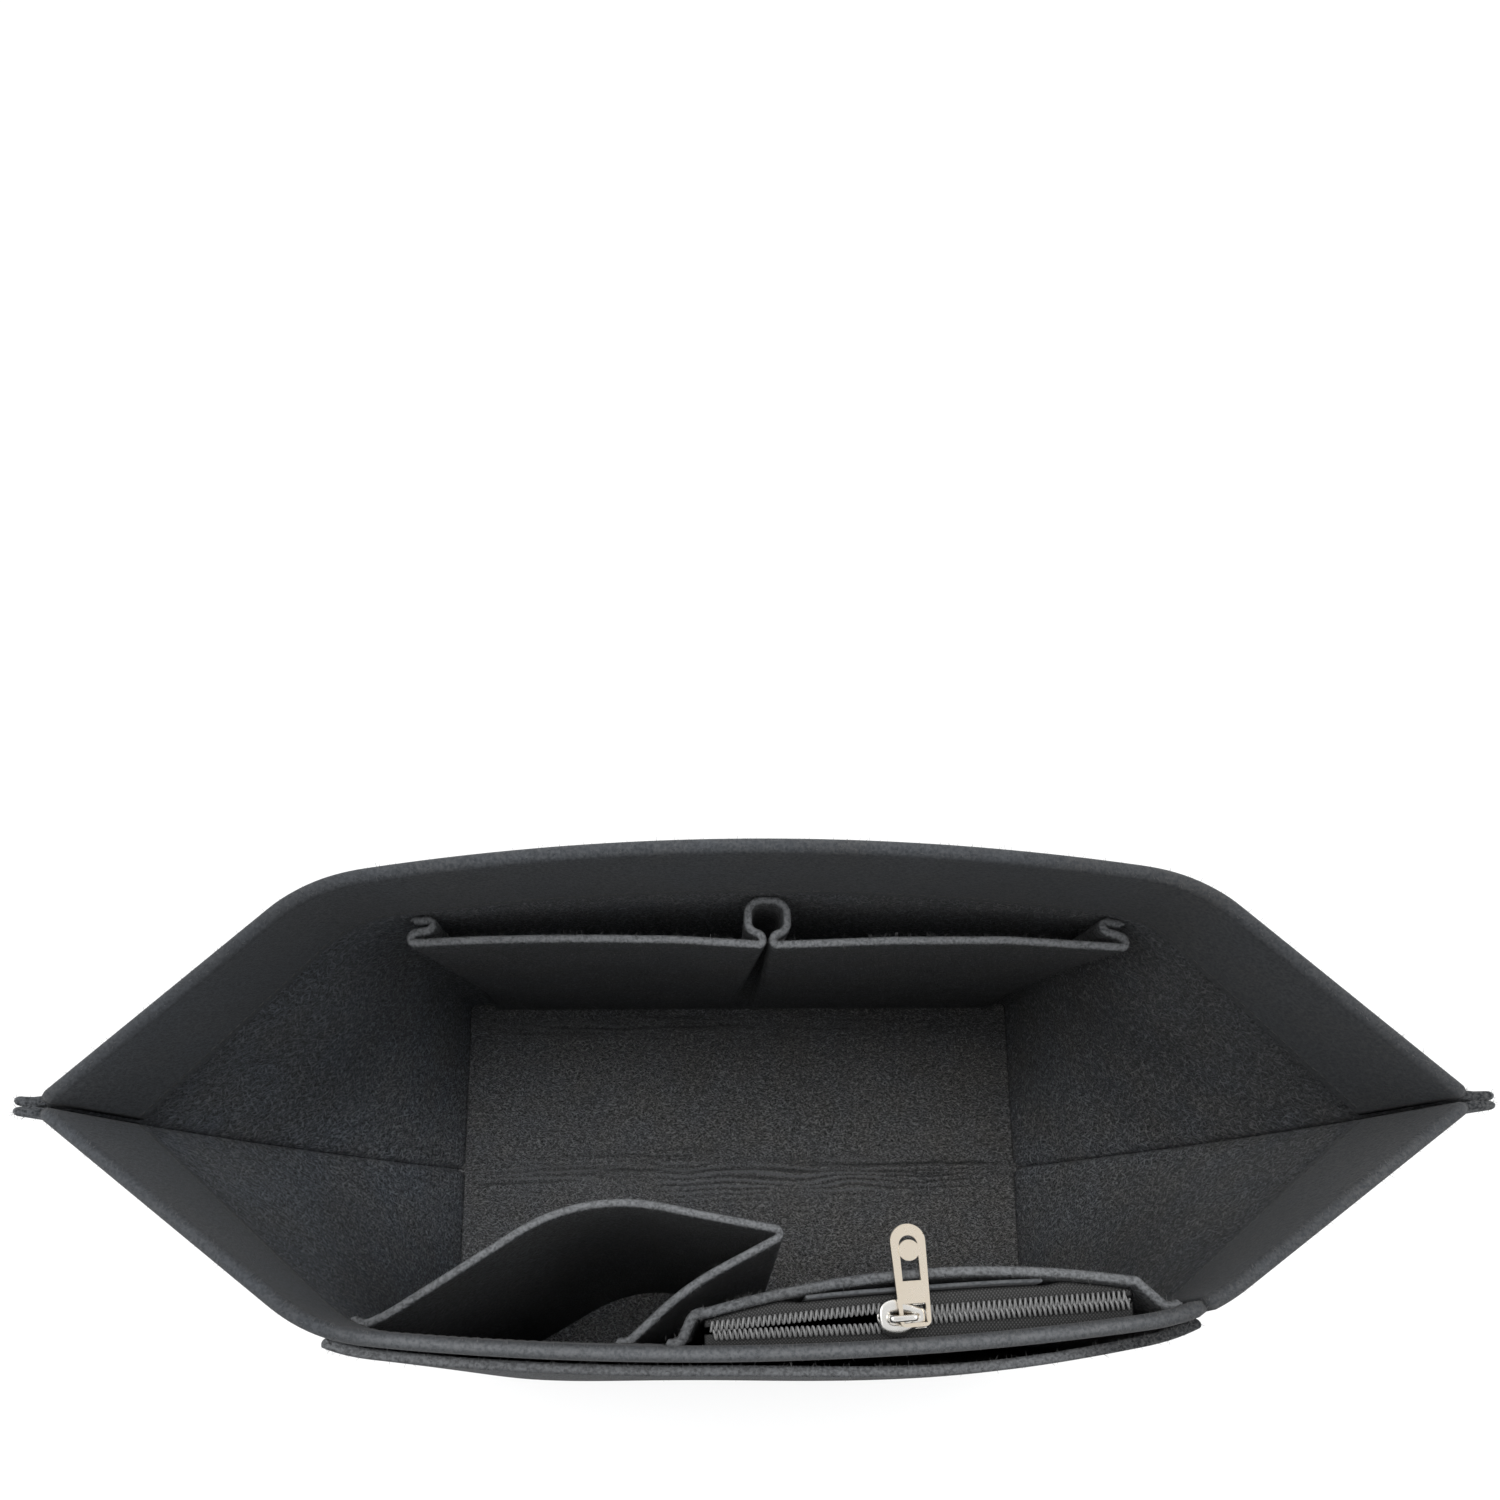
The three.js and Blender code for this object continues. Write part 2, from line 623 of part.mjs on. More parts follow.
function slider() {
  const end = sliderLength / 2;
  const past = end + sliderPlate; // channel cutter, clear of both ends
  const narrow = coilOuter + sliderRunning;
  const open = narrow + zipSpread;
  const channel = new THREE.Shape().moveTo(past, -narrow).lineTo(past, narrow);
  channel.lineTo(sliderClosing, narrow).lineTo(-end, open).lineTo(-past, open);
  channel.lineTo(-past, -open).lineTo(-end, -open).lineTo(sliderClosing, -narrow).closePath();
  const nose = -end + postSetback;
  const post = new THREE.Shape().moveTo(nose, -postHalf / 2).lineTo(nose, postHalf / 2);
  post.lineTo(nose + postHalf, postHalf).lineTo(nose + postLength, 0);
  post.lineTo(nose + postHalf, -postHalf).closePath();

  const foot = sliderTop - crownSink;
  const under = sliderTop + crownOpening;
  const over = under + crownBar;
  const left = -crownLeft;
  const right = crownRight;
  const leg = crownLeg / 2;
  const arch = new THREE.Shape().moveTo(left - leg, foot).lineTo(left - leg, under);
  arch.quadraticCurveTo(left - leg, over, left + leg, over).lineTo(right - leg, over);
  arch.quadraticCurveTo(right + leg, over, right + leg, under).lineTo(right + leg, foot);
  arch.lineTo(right - leg, foot).lineTo(right - leg, under).lineTo(left + leg, under);
  arch.lineTo(left + leg, foot).closePath();
  const crown = raised(arch, -crownWidth / 2, crownWidth / 2).rotateX(Math.PI / 2);

  const upperPlate = solid(raised(sliderOutline(sliderHalf), sliderRunning, sliderTop));
  const lowerPlate = solid(raised(sliderOutline(sliderLowerHalf), sliderFloor - sliderPlate, sliderFloor));
  const body = upperPlate
    .subtract(solid(raised(channel, 0, sliderRoof)))
    .add(lowerPlate)
    .add(solid(raised(post, sliderFloor - crownSink, sliderRoof + crownSink)))
    .add(solid(crown));
  return geometryOf(body);
}

// Pull tab: a flat plate with an eye round the bridge leg, a long window and a button across the window
function pullTab() {
  const shoulder = pullLength - pullTipHalf;
  const foot = -eyeFront - pullArm;
  const outline = new THREE.Shape().moveTo(-pullEyeHalf + eyeCorner, foot);
  outline.lineTo(pullEyeHalf - eyeCorner, foot);
  outline.quadraticCurveTo(pullEyeHalf, foot, pullEyeHalf, foot + eyeCorner);
  outline.lineTo(pullTipHalf, shoulder).absarc(0, shoulder, pullTipHalf, 0, Math.PI);
  outline.lineTo(-pullEyeHalf, foot + eyeCorner);
  outline.quadraticCurveTo(-pullEyeHalf, foot, -pullEyeHalf + eyeCorner, foot);
  const eyeHalf = pullEyeHalf - pullArm;
  const eye = new THREE.Path().moveTo(-eyeHalf, -eyeFront).lineTo(eyeHalf, -eyeFront);
  outline.holes.push(eye.lineTo(eyeHalf, eyeBack).lineTo(-eyeHalf, eyeBack).closePath());
  const windowEnd = pullLength - pullRim - windowHalf;
  const opening = new THREE.Path().moveTo(-windowHalf, eyeBack + pullBand);
  opening.lineTo(windowHalf, eyeBack + pullBand).lineTo(windowHalf, windowEnd);
  opening.absarc(0, windowEnd, windowHalf, 0, Math.PI).closePath();
  outline.holes.push(opening);
  const button = new THREE.CylinderGeometry(discRadius, discRadius, pullThickness + discProud, buttonSides);
  button.rotateX(Math.PI / 2).translate(0, discAt, (pullThickness + discProud) / 2);
  const plate = solid(raised(outline, 0, pullThickness, pullSteps));
  return geometryOf(plate.add(solid(button)));
}

// Outside pocket: a panel sewn to the front wall's outer face from corner to corner, swelling out,
// its edge open at the right
function outerPocket() {
  const top = levelOf(rimHeight - outerPocketDrop);
  const levels = [-1, ...evenly(pocketRows, (share) => share * top)];
  const corner = 2 + endSteps; // station where the left corner's rounding starts
  const grid = panelGrid(frontWall, bodyStations.slice(corner, -corner), levels);
  const outward = ({ x, z }) => {
    const up = z / rimHeight;
    const across = clamp(x / plan(frontWall, levelOf(z)).cornerX, -1, 1);
    const near = clamp(1 - Math.abs(x - mouthAt) / mouthHalf, 0, 1);
    const swell = outerBelly * Math.sin(Math.PI * up) * (1 - across ** 4);
    return seat + swell + mouthGap * smoothstep(near, 0, 1) * up ** 3;
  };
  return sheet(setOff(grid, outward), felt);
}

const feltFinish = new THREE.MeshStandardMaterial({ color: 0x2b2c2e, roughness: 0.95, metalness: 0 });
const bandFinish = new THREE.MeshStandardMaterial({ color: 0x2f3032, roughness: 0.95, metalness: 0 });
const tapeFinish = new THREE.MeshStandardMaterial({ color: 0x222325, roughness: 0.8, metalness: 0 });
const coilFinish = new THREE.MeshStandardMaterial({ color: 0x3a3b3d, roughness: 0.45, metalness: 0 });
const sliderFinish = new THREE.MeshStandardMaterial({ color: 0xe6e4dc, roughness: 0.3, metalness: 1 });
const pullFinish = new THREE.MeshStandardMaterial({ color: 0xd8cbb4, roughness: 0.35, metalness: 1 });

function piece(name, geometry, material) {
  const mesh = new THREE.Mesh(geometry, material);
  mesh.name = name;
  return mesh;
}

const openLeftOfZip = openPocketSeam + pocketSpacing;
const rightOfZip = zipRight + zipRightShoulder + zipEndRun + seamFlange;

const insert = new THREE.Group();
insert.add(
  piece('base_panel', basePanel(), feltFinish),
  piece('back_panel', bodyPanel(backWall), feltFinish),
  piece('front_panel', bodyPanel(frontWall), feltFinish),
  piece('back_rim_band', rimBand(backWall, -Infinity, Infinity), bandFinish),
  piece('front_left_rim_band', rimBand(frontWall, -Infinity, openLeftOfZip), bandFinish),
  piece('front_right_rim_band', rimBand(frontWall, rightOfZip, Infinity), bandFinish),
  piece('back_pocket', backPocket(), feltFinish),
  piece('open_pocket', openPocket(), feltFinish),
  piece('zip_pocket_panel', zipPanel(), feltFinish),
  piece('zip_facing', zipFacing(), bandFinish),
  piece('zip_tape_wall_side', zipTape(wallTapeLeg, -1), tapeFinish),
  piece('zip_tape_pocket_side', zipTape(pocketTapeLeg, 1), tapeFinish),
  piece('outer_pocket', outerPocket(), feltFinish),
);

const zip = new THREE.Group();
zip.position.set(zipLeft, -zipLeftReach, zipHeight);
zip.rotation.z = zipAngle;
const sliderGroup = new THREE.Group();
sliderGroup.position.x = sliderPlace;
const pull = piece('pull_tab', pullTab(), pullFinish);
pull.position.set(crownRight, 0, sliderTop + pullLift);
sliderGroup.add(piece('zip_slider', slider(), sliderFinish), pull);
zip.add(
  piece('zip_coil_wall_side', coilRow(-1), coilFinish),
  piece('zip_coil_pocket_side', coilRow(1), coilFinish),
  sliderGroup,
);
insert.add(zip);

export default insert;
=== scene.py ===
import bpy
import numpy as np
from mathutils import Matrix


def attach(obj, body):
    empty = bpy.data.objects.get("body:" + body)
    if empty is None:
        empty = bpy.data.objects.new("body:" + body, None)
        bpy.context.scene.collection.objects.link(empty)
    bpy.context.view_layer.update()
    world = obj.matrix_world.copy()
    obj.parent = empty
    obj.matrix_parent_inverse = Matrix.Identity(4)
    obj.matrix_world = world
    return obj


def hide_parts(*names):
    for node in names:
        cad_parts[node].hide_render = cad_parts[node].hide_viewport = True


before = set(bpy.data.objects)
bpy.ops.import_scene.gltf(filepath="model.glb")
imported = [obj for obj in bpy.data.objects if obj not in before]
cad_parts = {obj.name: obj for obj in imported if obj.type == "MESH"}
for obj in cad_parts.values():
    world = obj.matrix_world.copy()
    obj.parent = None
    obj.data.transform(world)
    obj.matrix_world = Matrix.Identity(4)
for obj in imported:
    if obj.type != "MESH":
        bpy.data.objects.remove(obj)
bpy.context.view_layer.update()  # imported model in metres, replaced piece by piece below
print("frame loaded,", len(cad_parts), "nodes")

mm = 0.001  # shapes are worked out in millimetres and put into the meshes in metres
seedStart = 11

cloth = {
    "felt": 3.0, "thin": 1.2, "gap": 0.3, "round": 1.1, "flange": 4.0, "lift": 1.0,
    "edgeFrom": 0.3, "paleFrom": 0.1, "paleTo": 0.75,  # shares of an edge's rounding where its marks start and end
}

body = {
    "length": 300.0, "depth": 185.0, "baseCorner": 5.0, "rim": 210.0, "tip": 199.5, "fold": 4.0,
    "overhang": 62.7, "belly": 10.0, "rimCorner": 13.0, "fin": 7.5, "splay": 0.35, "pressed": 0.1,
    "bandWidth": 33.0, "bandSetback": 1.6,
}
backWall = {"side": 1, "cornerLean": 20.8, "lean": 28.3, "bow": 11.5, "skew": 0.0, "phase": 0.6}
frontWall = {"side": -1, "cornerLean": 29.8, "lean": 29.8, "bow": 8.0, "skew": 2.0, "phase": 2.1}

halfX = body["length"] / 2 + cloth["gap"] + cloth["felt"] / 2
halfY = body["depth"] / 2 + cloth["gap"] + cloth["felt"] / 2
seamReach = halfX + body["overhang"]
seamGap = (cloth["felt"] + cloth["gap"]) / 2
seamTouch = cloth["felt"] / 2 - body["pressed"]  # sewn layers press into each other
seat = cloth["felt"] + cloth["gap"]
pocketFloor = cloth["felt"] + cloth["lift"]
bandEdge = body["rim"] - body["bandWidth"]


# Small helpers on whole arrays

def lerp(a, b, t):
    # a moved to b by the share t
    return a + (b - a) * t


def ease(x, start, end):
    # 0 before start, 1 after end, with the cubic 3t^2 - 2t^3 between them
    t = np.clip((x - start) / (end - start), 0, 1)
    return t * t * (3 - 2 * t)


def fall(x, start, end):
    # the same cubic from 1 before start to 0 after end
    return ease(-x, -end, -start)


def unit(v):
    # each vector divided by its length
    return v / np.maximum(np.linalg.norm(v, axis=-1, keepdims=True), 1e-12)


def softNoise(x, y, seed):
    # random heights in -1..1 on a square lattice of side 1, mixed with the same cubic between lattice points
    table = np.random.default_rng(seed).uniform(-1, 1, (256, 256))
    xi = np.floor(x).astype(int)
    yi = np.floor(y).astype(int)
    fx = ease(x - xi, 0, 1)
    fy = ease(y - yi, 0, 1)
    low = lerp(table[xi & 255, yi & 255], table[(xi + 1) & 255, yi & 255], fx)
    high = lerp(table[xi & 255, (yi + 1) & 255], table[(xi + 1) & 255, (yi + 1) & 255], fx)
    return lerp(low, high, fy)


def layeredNoise(x, y, layers):
    # the sum of several noises, each with its height, its lattice's two sides and its own seed
    return sum(high * softNoise(x / wide, y / tall, seedStart + seed) for high, wide, tall, seed in layers)


def edgeShares(count, run, reach, steps=4):
    # even shares of a run, with a quarter circle's worth of closer ones within reach of each end
    near = reach / run * (1 - np.cos(np.linspace(0, np.pi / 2, steps + 1)))
    inner = np.linspace(near[-1], 1 - near[-1], count)
    return np.concatenate([near[:-1], inner, 1 - near[-2::-1]])


def runLengths(grid, axis):
    # distance travelled along one axis of a grid of points
    step = np.linalg.norm(np.diff(grid, axis=axis), axis=-1)
    zero = np.zeros_like(np.take(step, [0], axis=axis))
    return np.concatenate([zero, np.cumsum(step, axis=axis)], axis=axis)


def gridNormals(grid):
    # cross product of the steps along both axes, of length 1
    return unit(np.cross(np.gradient(grid, axis=0), np.gradient(grid, axis=1)))


# Meshes

def putMesh(name, points, faceSets, material, uv=None, marks=None):
    # points in millimetres; faceSets are arrays of vertex numbers, one row a face
    mesh = bpy.data.meshes.new(name)
    loops = np.concatenate([f.ravel() for f in faceSets]).astype(np.int32)
    sizes = np.concatenate([np.full(len(f), f.shape[1]) for f in faceSets])
    mesh.vertices.add(len(points))
    mesh.vertices.foreach_set("co", (points * mm).astype(np.float32).ravel())
    mesh.loops.add(len(loops))
    mesh.loops.foreach_set("vertex_index", loops)
    mesh.polygons.add(len(sizes))
    mesh.polygons.foreach_set("loop_start", np.concatenate([[0], np.cumsum(sizes)[:-1]]).astype(np.int32))
    mesh.update(calc_edges=True)
    mesh.polygons.foreach_set("use_smooth", np.ones(len(sizes), bool))
    if uv is not None:
        layer = mesh.uv_layers.new(name="weave")
        layer.uv.foreach_set("vector", (uv[loops] * mm).astype(np.float32).ravel())
    for mark, values in (marks or {}).items():
        mesh.attributes.new(mark, "FLOAT", "POINT").data.foreach_set("value", values.astype(np.float32))
    mesh.validate()
    mesh.materials.append(material)
    piece = bpy.data.objects.new(name, mesh)
    bpy.context.scene.collection.objects.link(piece)
    return piece


def feltSheet(name, grid, thick, material, light=(), reach=None, inner=None, outer=None, crease=0.0, worn=0.0,
              shade=0.0, pale=1.0):
    # a grid's middle surface set off both ways along its normals by half the felt, drawn in to nothing along the
    # border by a quarter ellipse of the given reach, so that both faces meet in a rounded cut edge; crease is painted
    # shade on both faces and shade is painted shade on the first face alone; worn is paler marks and painted light
    # laid over both faces, and pale says how far a light edge is bleached
    reach = reach or cloth["round"]
    columns, rows = grid.shape[:2]
    along = runLengths(grid, 0)
    up = runLengths(grid, 1)
    normal = gridNormals(grid)
    ends = {"left": along, "right": along[-1:] - along, "bottom": up, "top": up[:, -1:] - up}
    near = np.minimum.reduce(list(ends.values()))
    draw = np.sqrt(np.maximum(0, 1 - (1 - np.clip(near / reach, 0, 1)) ** 2))
    fore = grid + normal * (draw * (thick / 2 if inner is None else inner))[..., None]
    hind = grid - normal * (draw * (thick / 2 if outer is None else outer))[..., None]
    border = np.ones((columns, rows), bool)
    border[1:-1, 1:-1] = False
    first = np.arange(columns * rows).reshape(columns, rows)
    second = first.copy()
    second[~border] = columns * rows + np.arange((~border).sum())
    points = np.concatenate([fore.reshape(-1, 3), hind[~border]])

    def cells(n):
        # the four corners of every cell of a grid of vertex numbers
        return np.stack([n[:-1, :-1], n[1:, :-1], n[1:, 1:], n[:-1, 1:]], -1).reshape(-1, 4)

    faces = [cells(first), cells(second)[:, ::-1]]
    flat = np.stack([along.mean(1, keepdims=True) + 0 * along, up.mean(0, keepdims=True) + 0 * up], -1)
    edge = 1 - ease(near, cloth["edgeFrom"] * reach, reach)
    cut = np.broadcast_to(worn, (columns, rows))
    for side in light:
        bleached = 1 - ease(ends[side], cloth["paleFrom"] * reach, cloth["paleTo"] * reach)
        cut = np.maximum(cut, pale * bleached)
    crease = np.broadcast_to(crease, (columns, rows))
    # the crease mark carries painted shade; the cut mark carries pale cut edges, paler marks and painted light
    marks = {"cut": (cut, cut), "edge": (edge, edge), "crease": (np.maximum(crease, shade * (1 - edge)), crease)}
    return putMesh(
        name, points, faces, material,
        np.concatenate([flat.reshape(-1, 2), flat[~border]]),
        {key: np.concatenate([front.ravel(), rear[~border]]) for key, (front, rear) in marks.items()},
    )


def loft(rings):
    # closed rings of points joined one to the next, each end closed by a fan round its middle
    count, sides = rings.shape[:2]
    n = np.arange(count * sides).reshape(count, sides)
    nextN = np.roll(n, -1, axis=1)
    walls = np.stack([n[:-1], nextN[:-1], nextN[1:], n[1:]], -1).reshape(-1, 4)
    points = np.concatenate([rings.reshape(-1, 3), rings[[0, -1]].mean(1)])
    foot = np.stack([nextN[0], n[0], np.full(sides, len(points) - 2)], -1)
    head = np.stack([n[-1], nextN[-1], np.full(sides, len(points) - 1)], -1)
    return points, [walls, np.concatenate([foot, head])]


def tube(path, radius, sides, guide):
    # a circle of the given radius carried along a path, its start turned towards the guide vectors
    ahead = unit(np.gradient(path, axis=0))
    side = unit(guide - ahead * (guide * ahead).sum(-1, keepdims=True))
    over = np.cross(ahead, side)
    turn = np.linspace(0, 2 * np.pi, sides, endpoint=False)[None, :, None]
    return loft(path[:, None] + radius * (np.cos(turn) * side[:, None] + np.sin(turn) * over[:, None]))


def joined(parts):
    # several shapes as one list of points and one list of face sets
    starts = np.cumsum([0] + [len(points) for points, _ in parts])
    faces = [f + start for (_, sets), start in zip(parts, starts) for f in sets]
    return np.concatenate([points for points, _ in parts]), faces


def scatter(shape, faceSets, centres, axes, sizes):
    # one small shape placed many times: its x, y and z follow three axes at each centre, times a size for each
    turned = np.einsum("kj,nji->nki", shape, axes * sizes[:, :, None])
    points = (centres[:, None] + turned).reshape(-1, 3)
    shift = (np.arange(len(centres)) * len(shape))[:, None, None]
    return points, [(f[None] + shift).reshape(-1, f.shape[1]) for f in faceSets]


def finishPiece(piece, rides, nodes=()):
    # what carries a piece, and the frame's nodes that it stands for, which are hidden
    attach(piece, rides)
    if nodes:
        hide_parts(*nodes)
    return piece


# Sewing thread and loose fibres, gathered while the felt is made and laid down at the end

seams = {"pitch": 3.6, "length": 2.6, "thick": 0.46}
fuzz = {
    "length": (0.7, 2.1), "thick": 0.05, "perRun": 2.2, "rise": (0.1, 1.0), "outward": 1.2, "sideways": 0.6,
    "rooted": 0.42,
}
stitchRows = []
fuzzRows = []


def sampled(line, run, at):
    # a line's values at given distances along it
    return np.stack([np.interp(at, run, line[:, k]) for k in range(3)], -1)


def sew(line, away):
    # one stitch every pitch, lying along the line and facing away from the felt
    run = runLengths(line, 0)
    at = np.arange(seams["pitch"], run[-1] - seams["pitch"] / 2, seams["pitch"])
    ahead = unit(sampled(np.gradient(line, axis=0), run, at))
    face = sampled(np.broadcast_to(away, line.shape), run, at)
    face = unit(face - ahead * (face * ahead).sum(-1, keepdims=True))
    stitchRows.append((sampled(line, run, at), np.stack([ahead, np.cross(face, ahead), face], 1)))


def fray(line, across, upward):
    # fibres rooted at random along a cut edge and across its thickness, leaning at random out of the felt
    rng = np.random.default_rng(seedStart + len(fuzzRows))
    run = runLengths(line, 0)
    at = rng.uniform(0, run[-1], int(run[-1] * fuzz["perRun"]))
    side = sampled(across, run, at)
    off = rng.uniform(-1, 1, (len(at), 1))
    ahead = unit(sampled(np.gradient(line, axis=0), run, at))
    lean = unit(sampled(np.broadcast_to(upward, line.shape), run, at) * rng.uniform(*fuzz["rise"], (len(at), 1))
                + fuzz["outward"] * off * side + rng.normal(0, fuzz["sideways"], (len(at), 1)) * ahead)
    root = sampled(line, run, at) + side * off * fuzz["rooted"] * cloth["felt"]
    other = unit(np.cross(lean, ahead))
    fuzzRows.append((root, np.stack([lean, other, np.cross(lean, other)], 1)))


# Materials

def addNode(tree, kind, inputs=None, **settings):
    # one shader node, with its settings and its inputs, which are plain values or other nodes' sockets
    made = tree.nodes.new(kind)
    for key, value in settings.items():
        setattr(made, key, value)
    for key, value in (inputs or {}).items():
        if isinstance(value, bpy.types.NodeSocket):
            tree.links.new(value, made.inputs[key])
        else:
            made.inputs[key].default_value = value
    return made


def mathNode(tree, operation, a, b):
    # the sum, product or other result of two values
    return addNode(tree, "ShaderNodeMath", {0: a, 1: b}, operation=operation).outputs[0]


def vectorNode(tree, operation, a, b):
    # the same for two vectors
    return addNode(tree, "ShaderNodeVectorMath", {0: a, 1: b}, operation=operation).outputs[0]


def colourMix(tree, share, a, b):
    # colour a turned to colour b by a share
    return addNode(tree, "ShaderNodeMix", {0: share, 6: a, 7: b}, data_type="RGBA").outputs[2]


def spread(tree, value, low, high, least=0.0, most=1.0):
    # a value stretched so that low becomes least and high becomes most
    return addNode(tree, "ShaderNodeMapRange", {
        "Value": value, "From Min": low, "From Max": high, "To Min": least, "To Max": most}).outputs[0]


def noiseNode(tree, vector, scale, detail):
    # smooth noise round 0.5 at the points of a vector
    return addNode(tree, "ShaderNodeTexNoise", {"Vector": vector, "Scale": scale, "Detail": detail}).outputs


def placeNode(tree):
    # the place in space, in metres
    return addNode(tree, "ShaderNodeTexCoord").outputs["Object"]


def uvNode(tree):
    # the place on the flat cut, in metres
    return addNode(tree, "ShaderNodeUVMap", uv_map="weave").outputs[0]


def markNode(tree, name):
    # a value stored with the mesh's points
    return addNode(tree, "ShaderNodeAttribute", attribute_name=name).outputs["Fac"]


def grey(level, tint=(1.0, 1.0, 1.0)):
    # a grey of the given level, times a tint
    return (level * tint[0], level * tint[1], level * tint[2], 1.0)


def newMaterial(name, inputs=None):
    # a material with nothing but its output and one principled shader, whose constants are set on its own sockets
    material = bpy.data.materials.new(name)
    material.use_nodes = True
    tree = material.node_tree
    tree.nodes.clear()
    shader = addNode(tree, "ShaderNodeBsdfPrincipled", inputs)
    addNode(tree, "ShaderNodeOutputMaterial", {"Surface": shader.outputs[0]})
    return material, tree, shader


def paint(tree, shader, colour, height=None, strength=1.0, depth=0.0):
    # a shader's colour, and its fine relief where a height is given
    tree.links.new(colour, shader.inputs["Base Color"])
    if height is not None:
        bump = addNode(tree, "ShaderNodeBump", {"Strength": strength, "Distance": depth, "Height": height})
        tree.links.new(bump.outputs[0], shader.inputs["Normal"])


pile = {
    "warpScale": 60.0, "warp": (0.007, 0.007, 0.0), "crest": (0.55, 0.69), "detail": 1.5,
    "strokes": {  # noise scales along and across a fibre, and the directions in which fibres lie
        "Bold": ((330.0, 1150.0), (0.3, 1.2, 2.25)), "Fine": ((560.0, 2500.0), (0.75, 1.75, 2.8))},
    "clouds": {"Grain": (1050.0, 3.0), "Cloud": (16.0, 4.0), "Tint": (48.0, 2.0)},  # scale and detail
}


def strokeNodes(tree, bent, size, turns):
    # noise drawn out along several directions, of which only the crests are kept, the strongest of all winning
    strokes = None
    for angle in turns:
        turned = addNode(tree, "ShaderNodeMapping", {"Vector": bent, "Rotation": (0.0, 0.0, angle)})
        drawn = addNode(tree, "ShaderNodeMapping", {
            "Vector": turned.outputs[0], "Location": (angle, 3 * angle, 0.0), "Scale": (*size, 1.0)})
        crest = spread(tree, noiseNode(tree, drawn.outputs[0], 1.0, pile["detail"])[0], *pile["crest"])
        strokes = crest if strokes is None else mathNode(tree, "MAXIMUM", strokes, crest)
    return strokes


def feltPileGroup():
    # loose fibres in two sizes on a bent flat pattern, with grain, slow clouds and tints from the place in space
    tree = bpy.data.node_groups.new("feltPile", "ShaderNodeTree")
    for socket in ("Flat", "Place"):
        tree.interface.new_socket(socket, in_out="INPUT", socket_type="NodeSocketVector")
    for socket in (*pile["strokes"], *pile["clouds"]):
        tree.interface.new_socket(socket, in_out="OUTPUT", socket_type="NodeSocketFloat")
    source = tree.nodes.new("NodeGroupInput")
    sink = tree.nodes.new("NodeGroupOutput")
    flat = source.outputs["Flat"]
    bend = noiseNode(tree, flat, pile["warpScale"], 1.0)["Color"]
    moved = vectorNode(tree, "MULTIPLY", vectorNode(tree, "SUBTRACT", bend, (0.5, 0.5, 0.5)), pile["warp"])
    bent = vectorNode(tree, "ADD", flat, moved)
    for socket, (size, turns) in pile["strokes"].items():
        tree.links.new(strokeNodes(tree, bent, size, turns), sink.inputs[socket])
    for socket, (scale, detail) in pile["clouds"].items():
        tree.links.new(noiseNode(tree, source.outputs["Place"], scale, detail)[0], sink.inputs[socket])
    return tree


feltLook = {
    "deep": 0.009, "mid": 0.046, "fibre": 0.135, "cut": 0.14, "cool": (0.91, 1.0, 1.13), "warm": (1.0, 1.0, 1.0),
    "bold": 0.72, "fine": 0.4, "bump": 1.0, "depth": 0.0008, "draw": (1.0, 1.0, 1.0),
}
wallLook = dict(feltLook, deep=0.011, mid=0.058, fibre=0.28, cool=(0.89, 1.0, 1.16))
baseLook = dict(feltLook, deep=0.008, mid=0.050, fibre=0.30, draw=(1.0, 1.7, 1.0), cool=(0.95, 1.0, 1.08),
                warm=(1.03, 1.0, 0.96))
bandLook = dict(feltLook, deep=0.028, mid=0.052, fibre=0.09, bold=0.4, fine=0.35, bump=0.5, cut=0.12)
feltBlend = {
    "blotch": (0.35, 0.65), "leftToRight": (-0.17, 0.12), "tintShare": 0.5, "rubbedOff": (0.17, 0.05, 0.45),
    "grain": (0.36, 0.64), "cloud": (0.25, 0.6, 0.35), "frayed": (0.34, 0.6, 0.5), "paintedShadeDepth": 0.3,
    "grainHigh": 0.8, "cutTint": (0.97, 1.0, 1.04),
}


